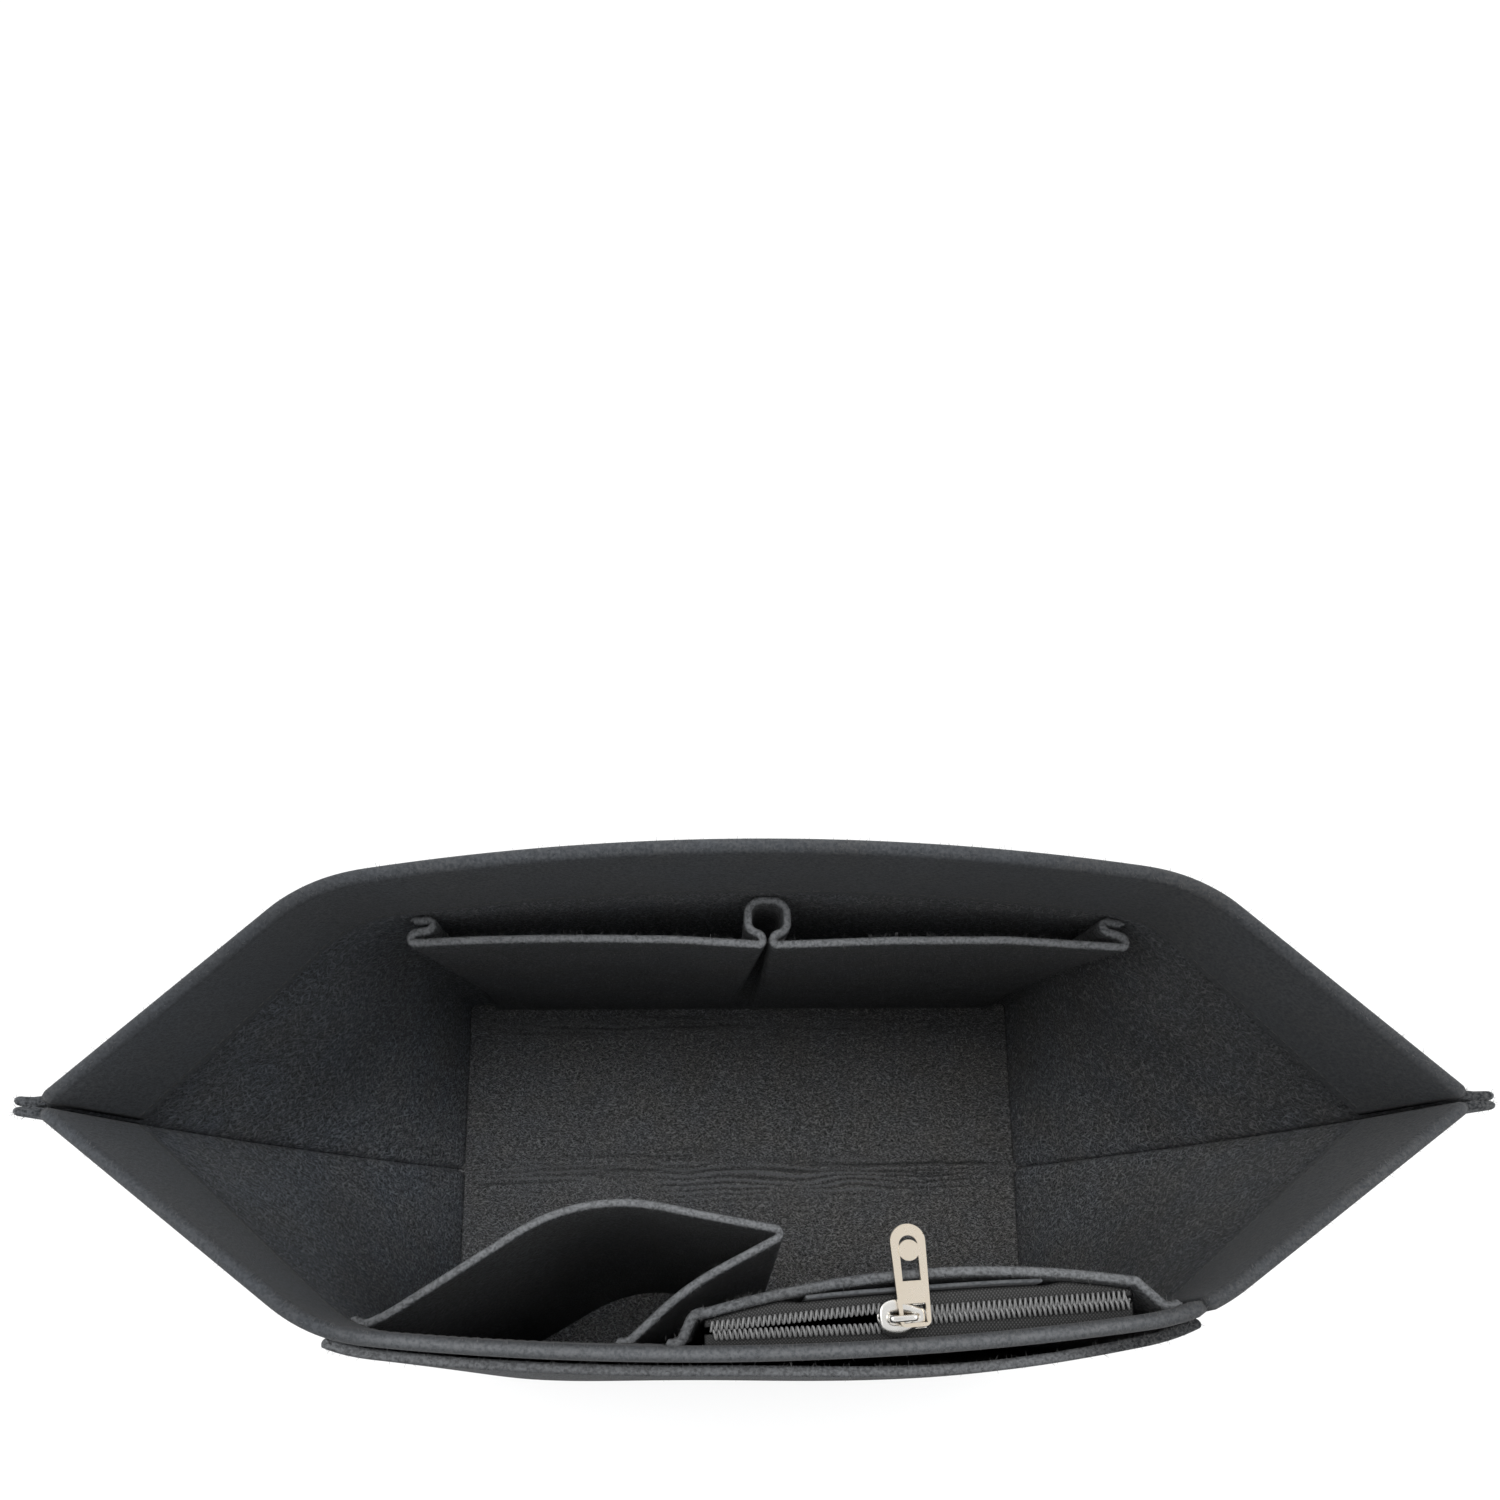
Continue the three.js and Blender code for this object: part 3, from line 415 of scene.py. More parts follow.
def feltMaterial(name, look, group):
    # tone runs from deep to mid with the grain and clouds and on to pale fibres with the strokes, tinted from cool on
    # the left to warm on the right; fibres are rubbed off higher up and on edges, and cut edges are frayed and pale;
    # the crease mark darkens towards a deep grey as painted shade, and the cut mark also carries painted highlights
    s = feltBlend
    material, tree, shader = newMaterial(name, {
        "Roughness": 0.95, "Specular IOR Level": 0.15, "Sheen Weight": 0.06, "Sheen Roughness": 0.6})
    place = placeNode(tree)
    axes = addNode(tree, "ShaderNodeSeparateXYZ", {0: place}).outputs
    flat = addNode(tree, "ShaderNodeMapping", {"Vector": uvNode(tree), "Scale": look["draw"]}).outputs[0]
    made = addNode(tree, "ShaderNodeGroup", node_tree=group)
    tree.links.new(flat, made.inputs["Flat"])
    tree.links.new(place, made.inputs["Place"])
    grain = made.outputs["Grain"]
    blotch = mathNode(tree, "MULTIPLY", spread(tree, made.outputs["Tint"], *s["blotch"]), s["tintShare"])
    side = mathNode(tree, "MULTIPLY", spread(tree, axes["X"], *s["leftToRight"]), s["tintShare"])
    tint = mathNode(tree, "ADD", blotch, side)
    bold = mathNode(tree, "MULTIPLY", made.outputs["Bold"], look["bold"])
    fine = mathNode(tree, "MULTIPLY", made.outputs["Fine"], look["fine"])
    left = spread(tree, axes["Z"], *s["rubbedOff"])
    raised = mathNode(tree, "MULTIPLY", mathNode(tree, "MAXIMUM", bold, fine), left)
    strokes = mathNode(tree, "MULTIPLY", raised, mathNode(tree, "SUBTRACT", 1.0, markNode(tree, "edge")))
    clouds = spread(tree, made.outputs["Cloud"], *s["cloud"])
    uneven = mathNode(tree, "MULTIPLY", spread(tree, grain, *s["grain"]), clouds)
    ground = colourMix(tree, tint, grey(look["mid"], look["cool"]), grey(look["mid"], look["warm"]))
    grained = colourMix(tree, uneven, grey(look["deep"], look["cool"]), ground)
    fibres = colourMix(tree, tint, grey(look["fibre"], look["cool"]), grey(look["fibre"], look["warm"]))
    haired = colourMix(tree, strokes, grained, fibres)
    # painted shade where the crease mark is set
    paintedShadeMix = colourMix(tree, markNode(tree, "crease"), haired, grey(s["paintedShadeDepth"] * look["deep"]))
    # pale frayed cut edges, and painted highlights and painted light, where the cut mark is set
    frayed = mathNode(tree, "MULTIPLY", markNode(tree, "cut"), spread(tree, grain, *s["frayed"]))
    colour = colourMix(tree, frayed, paintedShadeMix, grey(look["cut"], s["cutTint"]))
    height = mathNode(tree, "ADD", strokes, mathNode(tree, "MULTIPLY", grain, s["grainHigh"]))
    paint(tree, shader, colour, height, look["bump"], look["depth"])
    return material


tapeLook = {"turns": (0.7, 2.3), "scale": 420.0, "dark": 0.010, "pale": 0.058, "bump": 0.6, "depth": 0.0002}


def tapeMaterial():
    # twill: two crossing waves of fine ribs, slightly shiny
    s = tapeLook
    material, tree, shader = newMaterial("zipTapeWeave", {"Roughness": 0.75})
    flat = uvNode(tree)
    ribs = []
    for angle in s["turns"]:
        turned = addNode(tree, "ShaderNodeMapping", {"Vector": flat, "Rotation": (0.0, 0.0, angle)})
        ribs.append(addNode(tree, "ShaderNodeTexWave", {
            "Vector": turned.outputs[0], "Scale": s["scale"], "Distortion": 0.6, "Detail": 1.0}).outputs["Fac"])
    weave = mathNode(tree, "MULTIPLY", *ribs)
    paint(tree, shader, colourMix(tree, weave, grey(s["dark"]), grey(s["pale"])), weave, s["bump"], s["depth"])
    return material


def mottledMaterial(name, scale, detail, dark, pale, rough):
    # thread, fibre or filament: a fine cloud in space takes the grey from dark to pale and the roughness likewise
    material, tree, shader = newMaterial(name)
    cloud = noiseNode(tree, placeNode(tree), scale, detail)[0]
    paint(tree, shader, colourMix(tree, cloud, grey(dark), grey(pale)))
    if isinstance(rough, tuple):
        tree.links.new(spread(tree, cloud, 0.0, 1.0, *rough), shader.inputs["Roughness"])
    else:
        shader.inputs["Roughness"].default_value = rough
    return material


metalLook = {
    "cloud": 260.0, "scratch": (900.0, 6000.0, 900.0), "hollowShade": (0.09, 0.07, 0.05, 1.0), "bump": 0.06,
    "depth": 0.0001,
}


def metalMaterial(name, bright, worn, rough):
    # polished plate: clouds of slightly duller metal, brown painted shade in the hollows, faint scratches in the bump
    s = metalLook
    material, tree, shader = newMaterial(name, {"Metallic": 1.0})
    place = placeNode(tree)
    cloud = noiseNode(tree, place, s["cloud"], 4.0)[0]
    drawn = addNode(tree, "ShaderNodeMapping", {"Vector": place, "Scale": s["scratch"]}).outputs[0]
    scratch = noiseNode(tree, drawn, 1.0, 2.0)[0]
    plate = colourMix(tree, cloud, bright, worn)
    # brown painted shade where the hollow mark is set
    hollowShaded = colourMix(tree, markNode(tree, "hollow"), plate, s["hollowShade"])
    paint(tree, shader, hollowShaded, scratch, s["bump"], s["depth"])
    tree.links.new(spread(tree, cloud, 0.0, 1.0, *rough), shader.inputs["Roughness"])
    return material


pileGroup = feltPileGroup()
feltFinish = feltMaterial("charcoalFelt", feltLook, pileGroup)
wallFinish = feltMaterial("charcoalWallFelt", wallLook, pileGroup)
bandFinish = feltMaterial("smoothBandFelt", bandLook, pileGroup)
baseFinish = feltMaterial("charcoalBaseFelt", baseLook, pileGroup)
tapeFinish = tapeMaterial()
coilFinish = mottledMaterial("zipCoilNylon", 900.0, 2.0, 0.07, 0.19, (0.28, 0.45))
threadFinish = mottledMaterial("sewingThread", 1500.0, 2.0, 0.012, 0.05, 0.7)
fibreFinish = mottledMaterial("looseFibre", 700.0, 1.0, 0.03, 0.15, 0.9)
sliderFinish = metalMaterial("sliderPlate", (0.97, 0.96, 0.93, 1.0), (0.84, 0.82, 0.78, 1.0), (0.16, 0.34))
pullFinish = metalMaterial("pullPlate", (0.95, 0.86, 0.73, 1.0), (0.85, 0.75, 0.61, 1.0), (0.2, 0.36))
print("materials ready")


# Walls

def planAt(wall, level):
    # sizes of a wall's plan, changing evenly from the base at level 0 to the rim at level 1
    return {
        "seamX": lerp(halfX, seamReach, level) + body["belly"] * np.sin(np.pi * level),
        "cornerX": halfX - wall["cornerLean"] * level,
        "reach": halfY - wall["lean"] * level,
        "bow": wall["bow"] * level,
        "skew": wall["skew"] * level,
        "cut": lerp(body["baseCorner"], body["rimCorner"], level),
    }


def levelOf(z):
    # share of the height from the fold at the base to the rim
    return np.clip((z - body["fold"]) / (body["rim"] - body["fold"]), 0, 1)


def longReach(p, x):
    # distance of a long wall from the middle plane: a straight skew and a parabola for the bow
    share = x / p["cornerX"]
    return p["reach"] - p["skew"] * share + p["bow"] * (1 - share * share)


def cornerPoints(p, hand):
    # start on the end wall, corner, and end on the long wall: control points of the rounded corner
    cornerX = hand * p["cornerX"]
    cornerY = longReach(p, cornerX)
    alongX = hand * p["seamX"] - cornerX
    alongY = seamGap - cornerY
    share = p["cut"] / np.hypot(alongX, alongY)
    endX = hand * (p["cornerX"] - p["cut"])
    return (cornerX + alongX * share, cornerY + alongY * share), (cornerX, cornerY), (endX, longReach(p, endX))


waves = {"high": 0.7, "fade": 45.0, "rise": 1.15, "long": (29.0, 60.0), "short": (15.0, 38.0), "share": 0.7}


def slack(wall, x, z):
    # two slow waves in the long walls, dying out at the corners, the base and the rim
    level = levelOf(z)
    p = planAt(wall, level)
    fade = ease(p["cornerX"] - p["cut"] - np.abs(x), 0, waves["fade"])
    fade = fade * np.sin(np.pi * np.minimum(1, waves["rise"] * level))
    first = np.sin(x / waves["long"][0] + wall["phase"] + z / waves["long"][1])
    second = np.sin(x / waves["short"][0] - z / waves["short"][1] + 2 * wall["phase"])
    return waves["high"] * fade * (first + waves["share"] * second)


def wallReach(wall, x, z):
    # distance of a long wall's middle from the middle plane, its rounded corners solved for x
    p = planAt(wall, levelOf(z))
    start, corner, end = cornerPoints(p, np.where(x < 0, -1.0, 1.0))
    a = end[0] - 2 * corner[0] + start[0]
    b = 2 * (corner[0] - end[0])
    c = end[0] - x
    root = np.sqrt(np.maximum(0, b * b - 4 * a * c))
    t = 2 * c / (-b - np.sign(b) * root)
    bend = (1 - t) ** 2 * end[1] + 2 * t * (1 - t) * corner[1] + t * t * start[1]
    flat = longReach(p, x) + slack(wall, x, z)
    return np.where(np.abs(x) <= p["cornerX"] - p["cut"], flat, bend)


def insideWall(wall, x, depth, z):
    # points at a depth inside a long wall, square to its plan; a negative depth is outside
    x, depth, z = np.broadcast_arrays(x, depth, z)
    rise = wallReach(wall, x + 0.5, z) - wallReach(wall, x - 0.5, z)
    return np.stack([x, wall["side"] * (wallReach(wall, x, z) - depth * np.hypot(1, rise)), z], -1)


panel = {
    "finSteps": 5, "endSteps": 52, "bendSteps": 10, "longSteps": 150, "rows": 104,
    "bareRows": 14,  # rows near the floor without loose fibres
}
rimRoll = {"tuck": 1.2, "leg": 4.0, "flush": 0.9, "press": 1.3, "pressTo": (2.6, 3.4), "crown": 0.9, "turns": 11}
dents = {"ends": (135, 165), "foot": (5, 60), "rim": (20, 70), "seam": (3, 18), "size": (34, 41), "deep": 1.6}


def wallColumns():
    # shares along the fins, ends, corners and long wall of one panel
    fin = edgeShares(panel["finSteps"], body["fin"], cloth["round"])
    fin = fin[fin < 0.8]
    end = np.linspace(0, 1, panel["endSteps"], endpoint=False)
    bend = np.linspace(0, 1, panel["bendSteps"], endpoint=False)
    return fin, end, bend, np.linspace(0, 1, panel["longSteps"])


def wallLines(wall, level):
    # x, distance from the middle plane, rise of the rim and run from the side seam, by column and level
    p = planAt(wall, level)
    fin, end, bend, long = wallColumns()
    parts = {-1: [], 1: []}
    for hand in (-1, 1):
        start, corner, stop = cornerPoints(p, hand)
        run = np.hypot(start[0] - hand * p["seamX"], start[1] - seamGap)
        t = (1 - fin)[:, None]
        fork = seamTouch + body["splay"] * t ** 4 * (1 + np.sin(9 * level + hand)) / 2
        parts[hand].append((hand * (p["seamX"] + body["fin"] * t), fork + 0 * level, 0 * t * level, -t * run))
        t = end[:, None]
        endX, endY = lerp(hand * p["seamX"], start[0], t), lerp(seamTouch, start[1], t)
        parts[hand].append((endX, endY, t + 0 * level, t * run))
        t = bend[:, None]
        weights = ((1 - t) ** 2, 2 * t * (1 - t), t * t)
        bentX = sum(w * q[0] for w, q in zip(weights, (start, corner, stop)))
        bentY = sum(w * q[1] for w, q in zip(weights, (start, corner, stop)))
        parts[hand].append((bentX, bentY, 1 + 0 * bentX, run + 0 * bentX))
    x = (2 * long[:, None] - 1) * (p["cornerX"] - p["cut"])
    z = lerp(body["fold"], body["rim"], level)
    middle = (x, longReach(p, x) + slack(wall, x, z), 1 + 0 * x, p["seamX"] + 0 * x)
    right = [tuple(a[::-1] for a in part) for part in reversed(parts[1])]
    return [np.concatenate([part[k] for part in [*parts[-1], middle, *right]]) for k in range(4)]


def wallGrid(wall, levels, lowered=True):
    # middle surface of a panel; levels from -1 to 0 are the upright strip round the base
    level = np.maximum(levels, 0)[None, :]
    x, y, rise, run = wallLines(wall, level)
    rolled = ease(run, body["bandSetback"] - 1, body["bandSetback"] + 1)  # where the thin band covers the rim
    top = lerp(body["tip"], body["rim"], rise)
    if lowered:
        top = top + lerp(rimRoll["flush"], -rimRoll["tuck"], rolled)
    z = np.where(levels < 0, body["fold"] * (1 + levels), lerp(body["fold"], top, level))
    grid = np.stack([x, wall["side"] * y, z + 0 * x], -1)
    for _ in range(2):  # eases the fold at the side seams
        grid[8:-8] = (grid[7:-9] + 2 * grid[8:-8] + grid[9:-7]) / 4
    return grid, rolled


def endCrumple(grid, wall):
    # soft dents in the end walls, none within reach of the seams, corners and rim
    along = runLengths(grid, 0)
    up = runLengths(grid, 1)
    fade = ease(np.abs(grid[..., 0]), *dents["ends"]) * ease(up, *dents["foot"])
    fade = fade * ease(up[:, -1:] - up, *dents["rim"]) * ease(np.abs(grid[..., 1]), *dents["seam"])
    noise = softNoise(along / dents["size"][0], up / dents["size"][1], seedStart + 2 + wall["side"])
    return grid + gridNormals(grid) * (dents["deep"] * fade * noise)[..., None]


# where the front wall gets painted shade behind the open pocket
openPocketShade = {"left": (-136, -128), "right": (-2, 6), "top": (160, 174), "shade": 0.45}
wallLevels = np.concatenate([[-1.0, -0.97, -0.88, -0.72, -0.4], edgeShares(
    panel["rows"], body["rim"], cloth["round"])[4:]])


def bodyPanel(name, wall, nodes):
    # one felt sheet from side seam to side seam, pressed thinner outside where the band is rolled over its rim
    grid, rolled = wallGrid(wall, wallLevels)
    grid = endCrumple(grid, wall)
    up = runLengths(grid, 1)
    below = up[:, -1:] - up
    pressed = cloth["felt"] / 2 - rimRoll["press"] * rolled * (1 - ease(below, *rimRoll["pressTo"]))
    plain = np.full_like(pressed, cloth["felt"] / 2)
    inner, outer = (plain, pressed) if wall["side"] > 0 else (pressed, plain)
    x, z = grid[..., 0], grid[..., 2]
    covered = ease(x, *openPocketShade["left"]) * fall(x, *openPocketShade["right"]) * fall(z, *openPocketShade["top"])
    shade = openPocketShade["shade"] * covered if wall["side"] < 0 else 0.0  # painted shade on the wall behind the open pocket
    piece = feltSheet(name, grid, cloth["felt"], wallFinish, ("left", "right"), inner=inner, outer=outer,
                      crease=shade)
    outward = gridNormals(grid) * -wall["side"]
    skin = grid + outward * cloth["felt"] / 2
    fins = len(wallColumns()[0])
    for column in (fins // 2, -1 - fins // 2):
        sew(skin[column, 6:-6], outward[column, 6:-6])
    sew(skin[fins:-fins, 4], outward[fins:-fins, 4])
    above = panel["bareRows"]
    for end, within in ((0, 4), (-1, -5)):
        fray(grid[end, above:], outward[end, above:], unit(grid[end] - grid[within])[above:])
    return finishPiece(piece, "felt_body", nodes)


bodyPanel("backPanelFelt", backWall, ["back_panel"])
bodyPanel("frontPanelFelt", frontWall, ["front_panel"])
print("walls ready")


bareFront = (-26.0, 121.5)  # between the two front bands, where the zip is
narrowLeg = 2.9  # width of the left band's inner leg along the zip
bandLap = 3.0  # the left band's run past the start of the right one
# painted shade and painted highlight on the rim bands
rimShading = {"endShade": 0.3, "endsFrom": (60, 150), "flankShade": 0.42, "crest": 0.38, "crestHighlight": 0.62, "crestHighlightTo": (95, 125)}


def rimBand(name, wall, left, right, node, narrow=None):
    # thin felt inside the rim, carried over it on a half round and a little way down the outer face; past the place
    # in narrow its inner leg is only as wide as narrow says
    levels = edgeShares(16, body["bandWidth"], cloth["thin"] / 2)
    levels = lerp(levelOf(bandEdge), 1, levels[levels < 1 - 1e-3])
    grid, _ = wallGrid(wall, levels, lowered=False)
    grid = endCrumple(grid, wall)
    x, _, _, run = wallLines(wall, np.array([[1.0]]))
    keep = (run[:, 0] >= body["bandSetback"]) & (x[:, 0] >= left) & (x[:, 0] <= right)
    inward = gridNormals(grid) * wall["side"]
    upward = unit(np.gradient(grid, axis=1))
    depth = cloth["felt"] / 2 + cloth["gap"] + cloth["thin"] / 2
    far = cloth["felt"] / 2 - cloth["thin"] / 2
    leg = grid + inward * depth
    last, normal, lift = grid[:, -1:], inward[:, -1:], upward[:, -1:]
    if narrow:
        place, width = narrow
        below = np.linalg.norm(leg - leg[:, -1:], axis=-1)
        short = leg[:, -1:] - lift * (below * width / body["bandWidth"])[..., None]
        leg = np.where((x[:, 0] > place)[:, None, None], short, leg)
    turn = np.linspace(0, np.pi, rimRoll["turns"])[1:, None]
    middle, radius = (depth - far) / 2, (depth + far) / 2
    roll = last + normal * (middle + radius * np.cos(turn)) + lift * (rimRoll["crown"] * radius * np.sin(turn))
    down = lift * -np.linspace(0.4, rimRoll["leg"], 8)[:, None]
    outside = last - normal * far + down
    whole = np.concatenate([leg, roll, outside], 1)[keep]
    first = leg.shape[1]
    paintedShade = np.zeros(whole.shape[:2])
    crest = np.zeros(whole.shape[:2])
    if wall["side"] > 0:  # painted shade over the roll and the outer face towards the ends
        paintedShade[:, first - 1:] = rimShading["endShade"] * ease(np.abs(x[keep]), *rimShading["endsFrom"])
    else:  # painted highlight along the crest, painted shade to both sides
        rolled = slice(first, first + len(turn))
        paintedShade[:, first:] = rimShading["flankShade"]
        paintedShade[:, rolled] -= rimShading["crest"] * np.sin(turn[:, 0]) ** 2
        crest[:, rolled] = rimShading["crestHighlight"] * np.sin(turn[:, 0]) ** 6 * fall(np.abs(x[keep]), *rimShading["crestHighlightTo"])
        # painted shade on the narrow inner leg
        if narrow:
            paintedShade[:, :first] = rimShading["flankShade"] * (x[keep] > narrow[0])
    turned = slice(None, None, -1 if wall["side"] < 0 else 1)
    piece = feltSheet(name, whole[:, turned], cloth["thin"], bandFinish, reach=0.5, crease=paintedShade[:, turned],
                      worn=crest[:, turned])
    sewn = keep & (x[:, 0] <= (narrow[0] if narrow else right))
    sew((leg + inward * cloth["thin"] / 2)[sewn, 5], inward[sewn, 5])
    fray(roll[keep, 4], normal[keep, 0], lift[keep, 0])
    return finishPiece(piece, "felt_body", [node])


wide = seamReach + body["fin"]
rimBand("backRimBandFelt", backWall, -wide, wide, "back_rim_band")
rimBand("frontLeftRimBandFelt", frontWall, -wide, bareFront[1] + bandLap, "front_left_rim_band",
        (bareFront[0], narrowLeg))
rimBand("frontRightRimBandFelt", frontWall, bareFront[1], wide, "front_right_rim_band")
print("rim bands ready")


# Base

base = {
    "across": 236, "deep": 168, "spread": 0.35, "corner": 3.4, "seamTab": 4.6, "midBand": -6.0, "midSpread": 11.0,
    "backBand": 80.0, "backSpread": 6.0, "backShare": 0.5, "denser": 2.2, "calmEnds": (6, 40), "flatEnds": (2, 14),
    "ridge": 3.4, "ridgeHigh": 0.35, "ridgeHighlight": 0.95, "ridgeShade": 0.85, "bandPale": 0.2, "paleTo": (55, 105),
    "backPaintedLight": 0.08, "backFrom": (20, 88), "leftPale": 0.03, "leftTo": (-120, -20),
    "palest": (0.2, 0.9), "darkest": (0.5, 0.95), "warp": ((2.4, 32, 8, 25), (0.7, 10, 4, 26)),
    "patches": ((1.0, 28, 5, 27),), "patchFrom": (-0.8, 0.3), "swell": ((0.12, 9, 7, 23),),
    "waver": (1.7, 38), "shake": (0.6, 9), "creaseRun": 24, "creaseWide": 0.75, "creaseDeep": 0.5, "creaseShade": 0.8,
    "creases": (  # place in the depth, start, end and strength
        (-6.5, -152, -84, 0.8), (1.5, 38, 152, 1.0), (7.0, -114, -10, 0.7), (-1.5, -100, 54, 0.9),
        (-5.5, -34, 40, 0.7), (12.0, -60, 6, 0.5), (4.0, -70, 60, 0.5), (-3.5, 60, 130, 0.5), (80.0, -114, 20, 0.9),
        (84.5, -66, -6, 0.7), (77.5, -142, -64, 0.7), (74.0, 0, 46, 0.5), (82.0, 40, 110, 0.4)),
    "cut": {"flat": (0.301, 0.186), "area": 0.0559, "held": "laid", "on": []},
}


def wrinkleBands(row):
    # two bell curves over the depth: one along the middle, and a weaker one at the back
    middle = np.exp(-((row - base["midBand"]) / base["midSpread"]) ** 2)
    return middle + base["backShare"] * np.exp(-((row - base["backBand"]) / base["backSpread"]) ** 2)


def closerRows(shares):
    # shares of the depth moved closer together in the wrinkled bands: the running sum of a density, read backwards
    fine = np.linspace(0, 1, 2001)
    density = 1 + base["denser"] * wrinkleBands(body["depth"] * (fine - 0.5))
    total = np.concatenate([[0], np.cumsum((density[1:] + density[:-1]) / 2)])
    return np.interp(shares, total / total[-1], fine)


def basePanel():
    # flat rounded rectangle out to the walls: each row is as wide as the corner's parabola leaves it, and a little
    # wider at the side seams; creases are bell curves across wavering lines, wrinkles a sine over a wavering depth;
    # painted shade lies in the creases and the wrinkles' troughs, painted highlights on their crests, painted light
    # towards the back, and the middle band and the left are paler
    x = body["length"] / 2 + base["spread"]
    y = body["depth"] / 2 + base["spread"]
    corner = base["corner"]
    v = 2 * closerRows(edgeShares(base["deep"], body["depth"], cloth["round"]))[None, :] - 1
    u = 2 * edgeShares(base["across"], body["length"], cloth["round"])[:, None] - 1
    row = y * v
    t = np.maximum(0, 1 - np.sqrt(np.maximum(0, y - np.abs(row)) / corner))
    place = u * (x - corner * t * t + base["seamTab"] * np.exp(-(row / 2) ** 2))
    grid = np.stack([place, row + 0 * u, np.full_like(place, cloth["felt"] / 2)], -1)
    crease = 0 * place
    (wide, slow), (narrow, quick) = base["waver"], base["shake"]
    for n, (line, start, stop, depth) in enumerate(base["creases"]):
        waver = wide * softNoise(place / slow + 9 * n, 0 * place, seedStart + 21)
        waver = waver + narrow * softNoise(place / quick, 0 * place + n, seedStart + 22)
        window = ease(place, start, start + base["creaseRun"]) * fall(place, stop - base["creaseRun"], stop)
        crease = np.maximum(crease, depth * window * np.exp(-((row - line - waver) / base["creaseWide"]) ** 2))
    level = row + 0 * place
    inset = x - np.abs(place)
    ridge = np.sin(2 * np.pi * (row + layeredNoise(place, level, base["warp"])) / base["ridge"])
    patches = ease(layeredNoise(place, level, base["patches"]), *base["patchFrom"])
    bands = wrinkleBands(row) * ease(inset, *base["calmEnds"])
    crumple = bands * patches
    # painted highlights on the wrinkles' crests and a paler middle band, fading out to the right
    paleAndPaintedLight = base["ridgeHighlight"] * crumple * ease(ridge, *base["palest"]) + base["bandPale"] * bands
    # painted light towards the back, where the back wall shades the base
    paleAndPaintedLight = paleAndPaintedLight * fall(place, *base["paleTo"]) + base["backPaintedLight"] * ease(row, *base["backFrom"])
    # paler towards the left
    paleAndPaintedLight = paleAndPaintedLight + base["leftPale"] * fall(place, *base["leftTo"])
    # painted shade in the wrinkles' troughs
    crease = np.maximum(crease, base["ridgeShade"] * crumple * ease(-ridge, *base["darkest"]))
    swell = layeredNoise(place, row, base["swell"]) + base["ridgeHigh"] * crumple * ridge
    inner = np.full_like(place, cloth["felt"] / 2)
    shaped = inner + (swell - base["creaseDeep"] * crease) * ease(inset, *base["flatEnds"])
    # the crease marks paint shade into the creases
    piece = feltSheet("basePanelFelt", grid, cloth["felt"], baseFinish, inner=shaped, outer=inner,
                      crease=base["creaseShade"] * crease, worn=paleAndPaintedLight)
    return finishPiece(piece, "felt_body", ["base_panel"])


basePanel()
print("base ready")


# Pockets

def roundedRuns(corners, turnSteps=9):
    # straight runs joined by cubic roundings; a corner is (x, depth, rounding run, steps of the run after it)
    at = np.array([c[:2] for c in corners], float)
    parts = []
    start = at[0]
    for n in range(1, len(at)):
        bend = corners[n][2]
        stop = at[n]
        if bend:
            before = at[n - 1] - at[n]
            after = at[n + 1] - at[n]
            bend = min(bend, 0.48 * np.linalg.norm(before), 0.48 * np.linalg.norm(after))
            before, after = unit(before) * bend, unit(after) * bend
            stop = at[n] + before
        t = np.linspace(0, 1, corners[n - 1][3], endpoint=False)[:, None]
        parts.append(lerp(start, stop, t))
        start = stop
        if bend:
            turn = np.pi - np.arccos(np.clip((unit(before) * unit(after)).sum(), -1, 1))
            handle = 2 / 3 if turn < 0.01 else 4 * np.tan(turn / 4) / (3 * np.tan(turn / 2))
            t = np.linspace(0, 1, turnSteps, endpoint=False)[:, None]
            near, past = at[n] + before * (1 - handle), at[n] + after * (1 - handle)
            end = at[n] + after
            parts.append((1 - t) ** 3 * stop + 3 * t * (1 - t) ** 2 * near
                         + 3 * t * t * (1 - t) * past + t ** 3 * end)
            start = end
    return np.concatenate([*parts, start[None]])


cutWaver = {"high": 0.18, "from": 0.9, "layers": ((1.0, 2.2, 90.0, 31), (1.0, 9.0, 90.0, 32))}


def pocketGrid(wall, lower, upper, top, rows):
    # plan paths changing evenly from the lower edge to the upper edge, whose cut line wavers a little
    low = roundedRuns(lower)[:, None, :]
    high = roundedRuns(upper)[:, None, :]
    share = edgeShares(rows, top - pocketFloor, cloth["round"])[None, :]
    at = lerp(low, high, share[..., None])
    z = lerp(pocketFloor, top, share) + 0 * at[..., 0]
    grid = insideWall(wall, at[..., 0], at[..., 1], z)
    along = runLengths(grid[:, -1], 0)[:, None]
    waver = layeredNoise(along, along, cutWaver["layers"])
    grid[..., 2] += cutWaver["high"] * waver * ease(share, cutWaver["from"], 1.0)
    return grid


backPocket = {
    "shift": 6.5, "half": 124.0, "baseShift": 3.0, "baseHalf": 138.0, "drop": 5.0, "pleat": 7.5, "step": 3.5,
    "slant": 0.6, "bend": 1.7, "unfolded": 3.0, "loopHalf": 6.8, "loopMouth": 5.6, "loopBend": 3.4,
    "loopCrown": 6.4, "loopUnfolded": 2.4, "faceSteps": 70, "rows": 76,
    "cut": {"flat": (0.330, 0.171), "area": 0.0499, "held": "folded", "on": ["backPanelFelt"]},
}


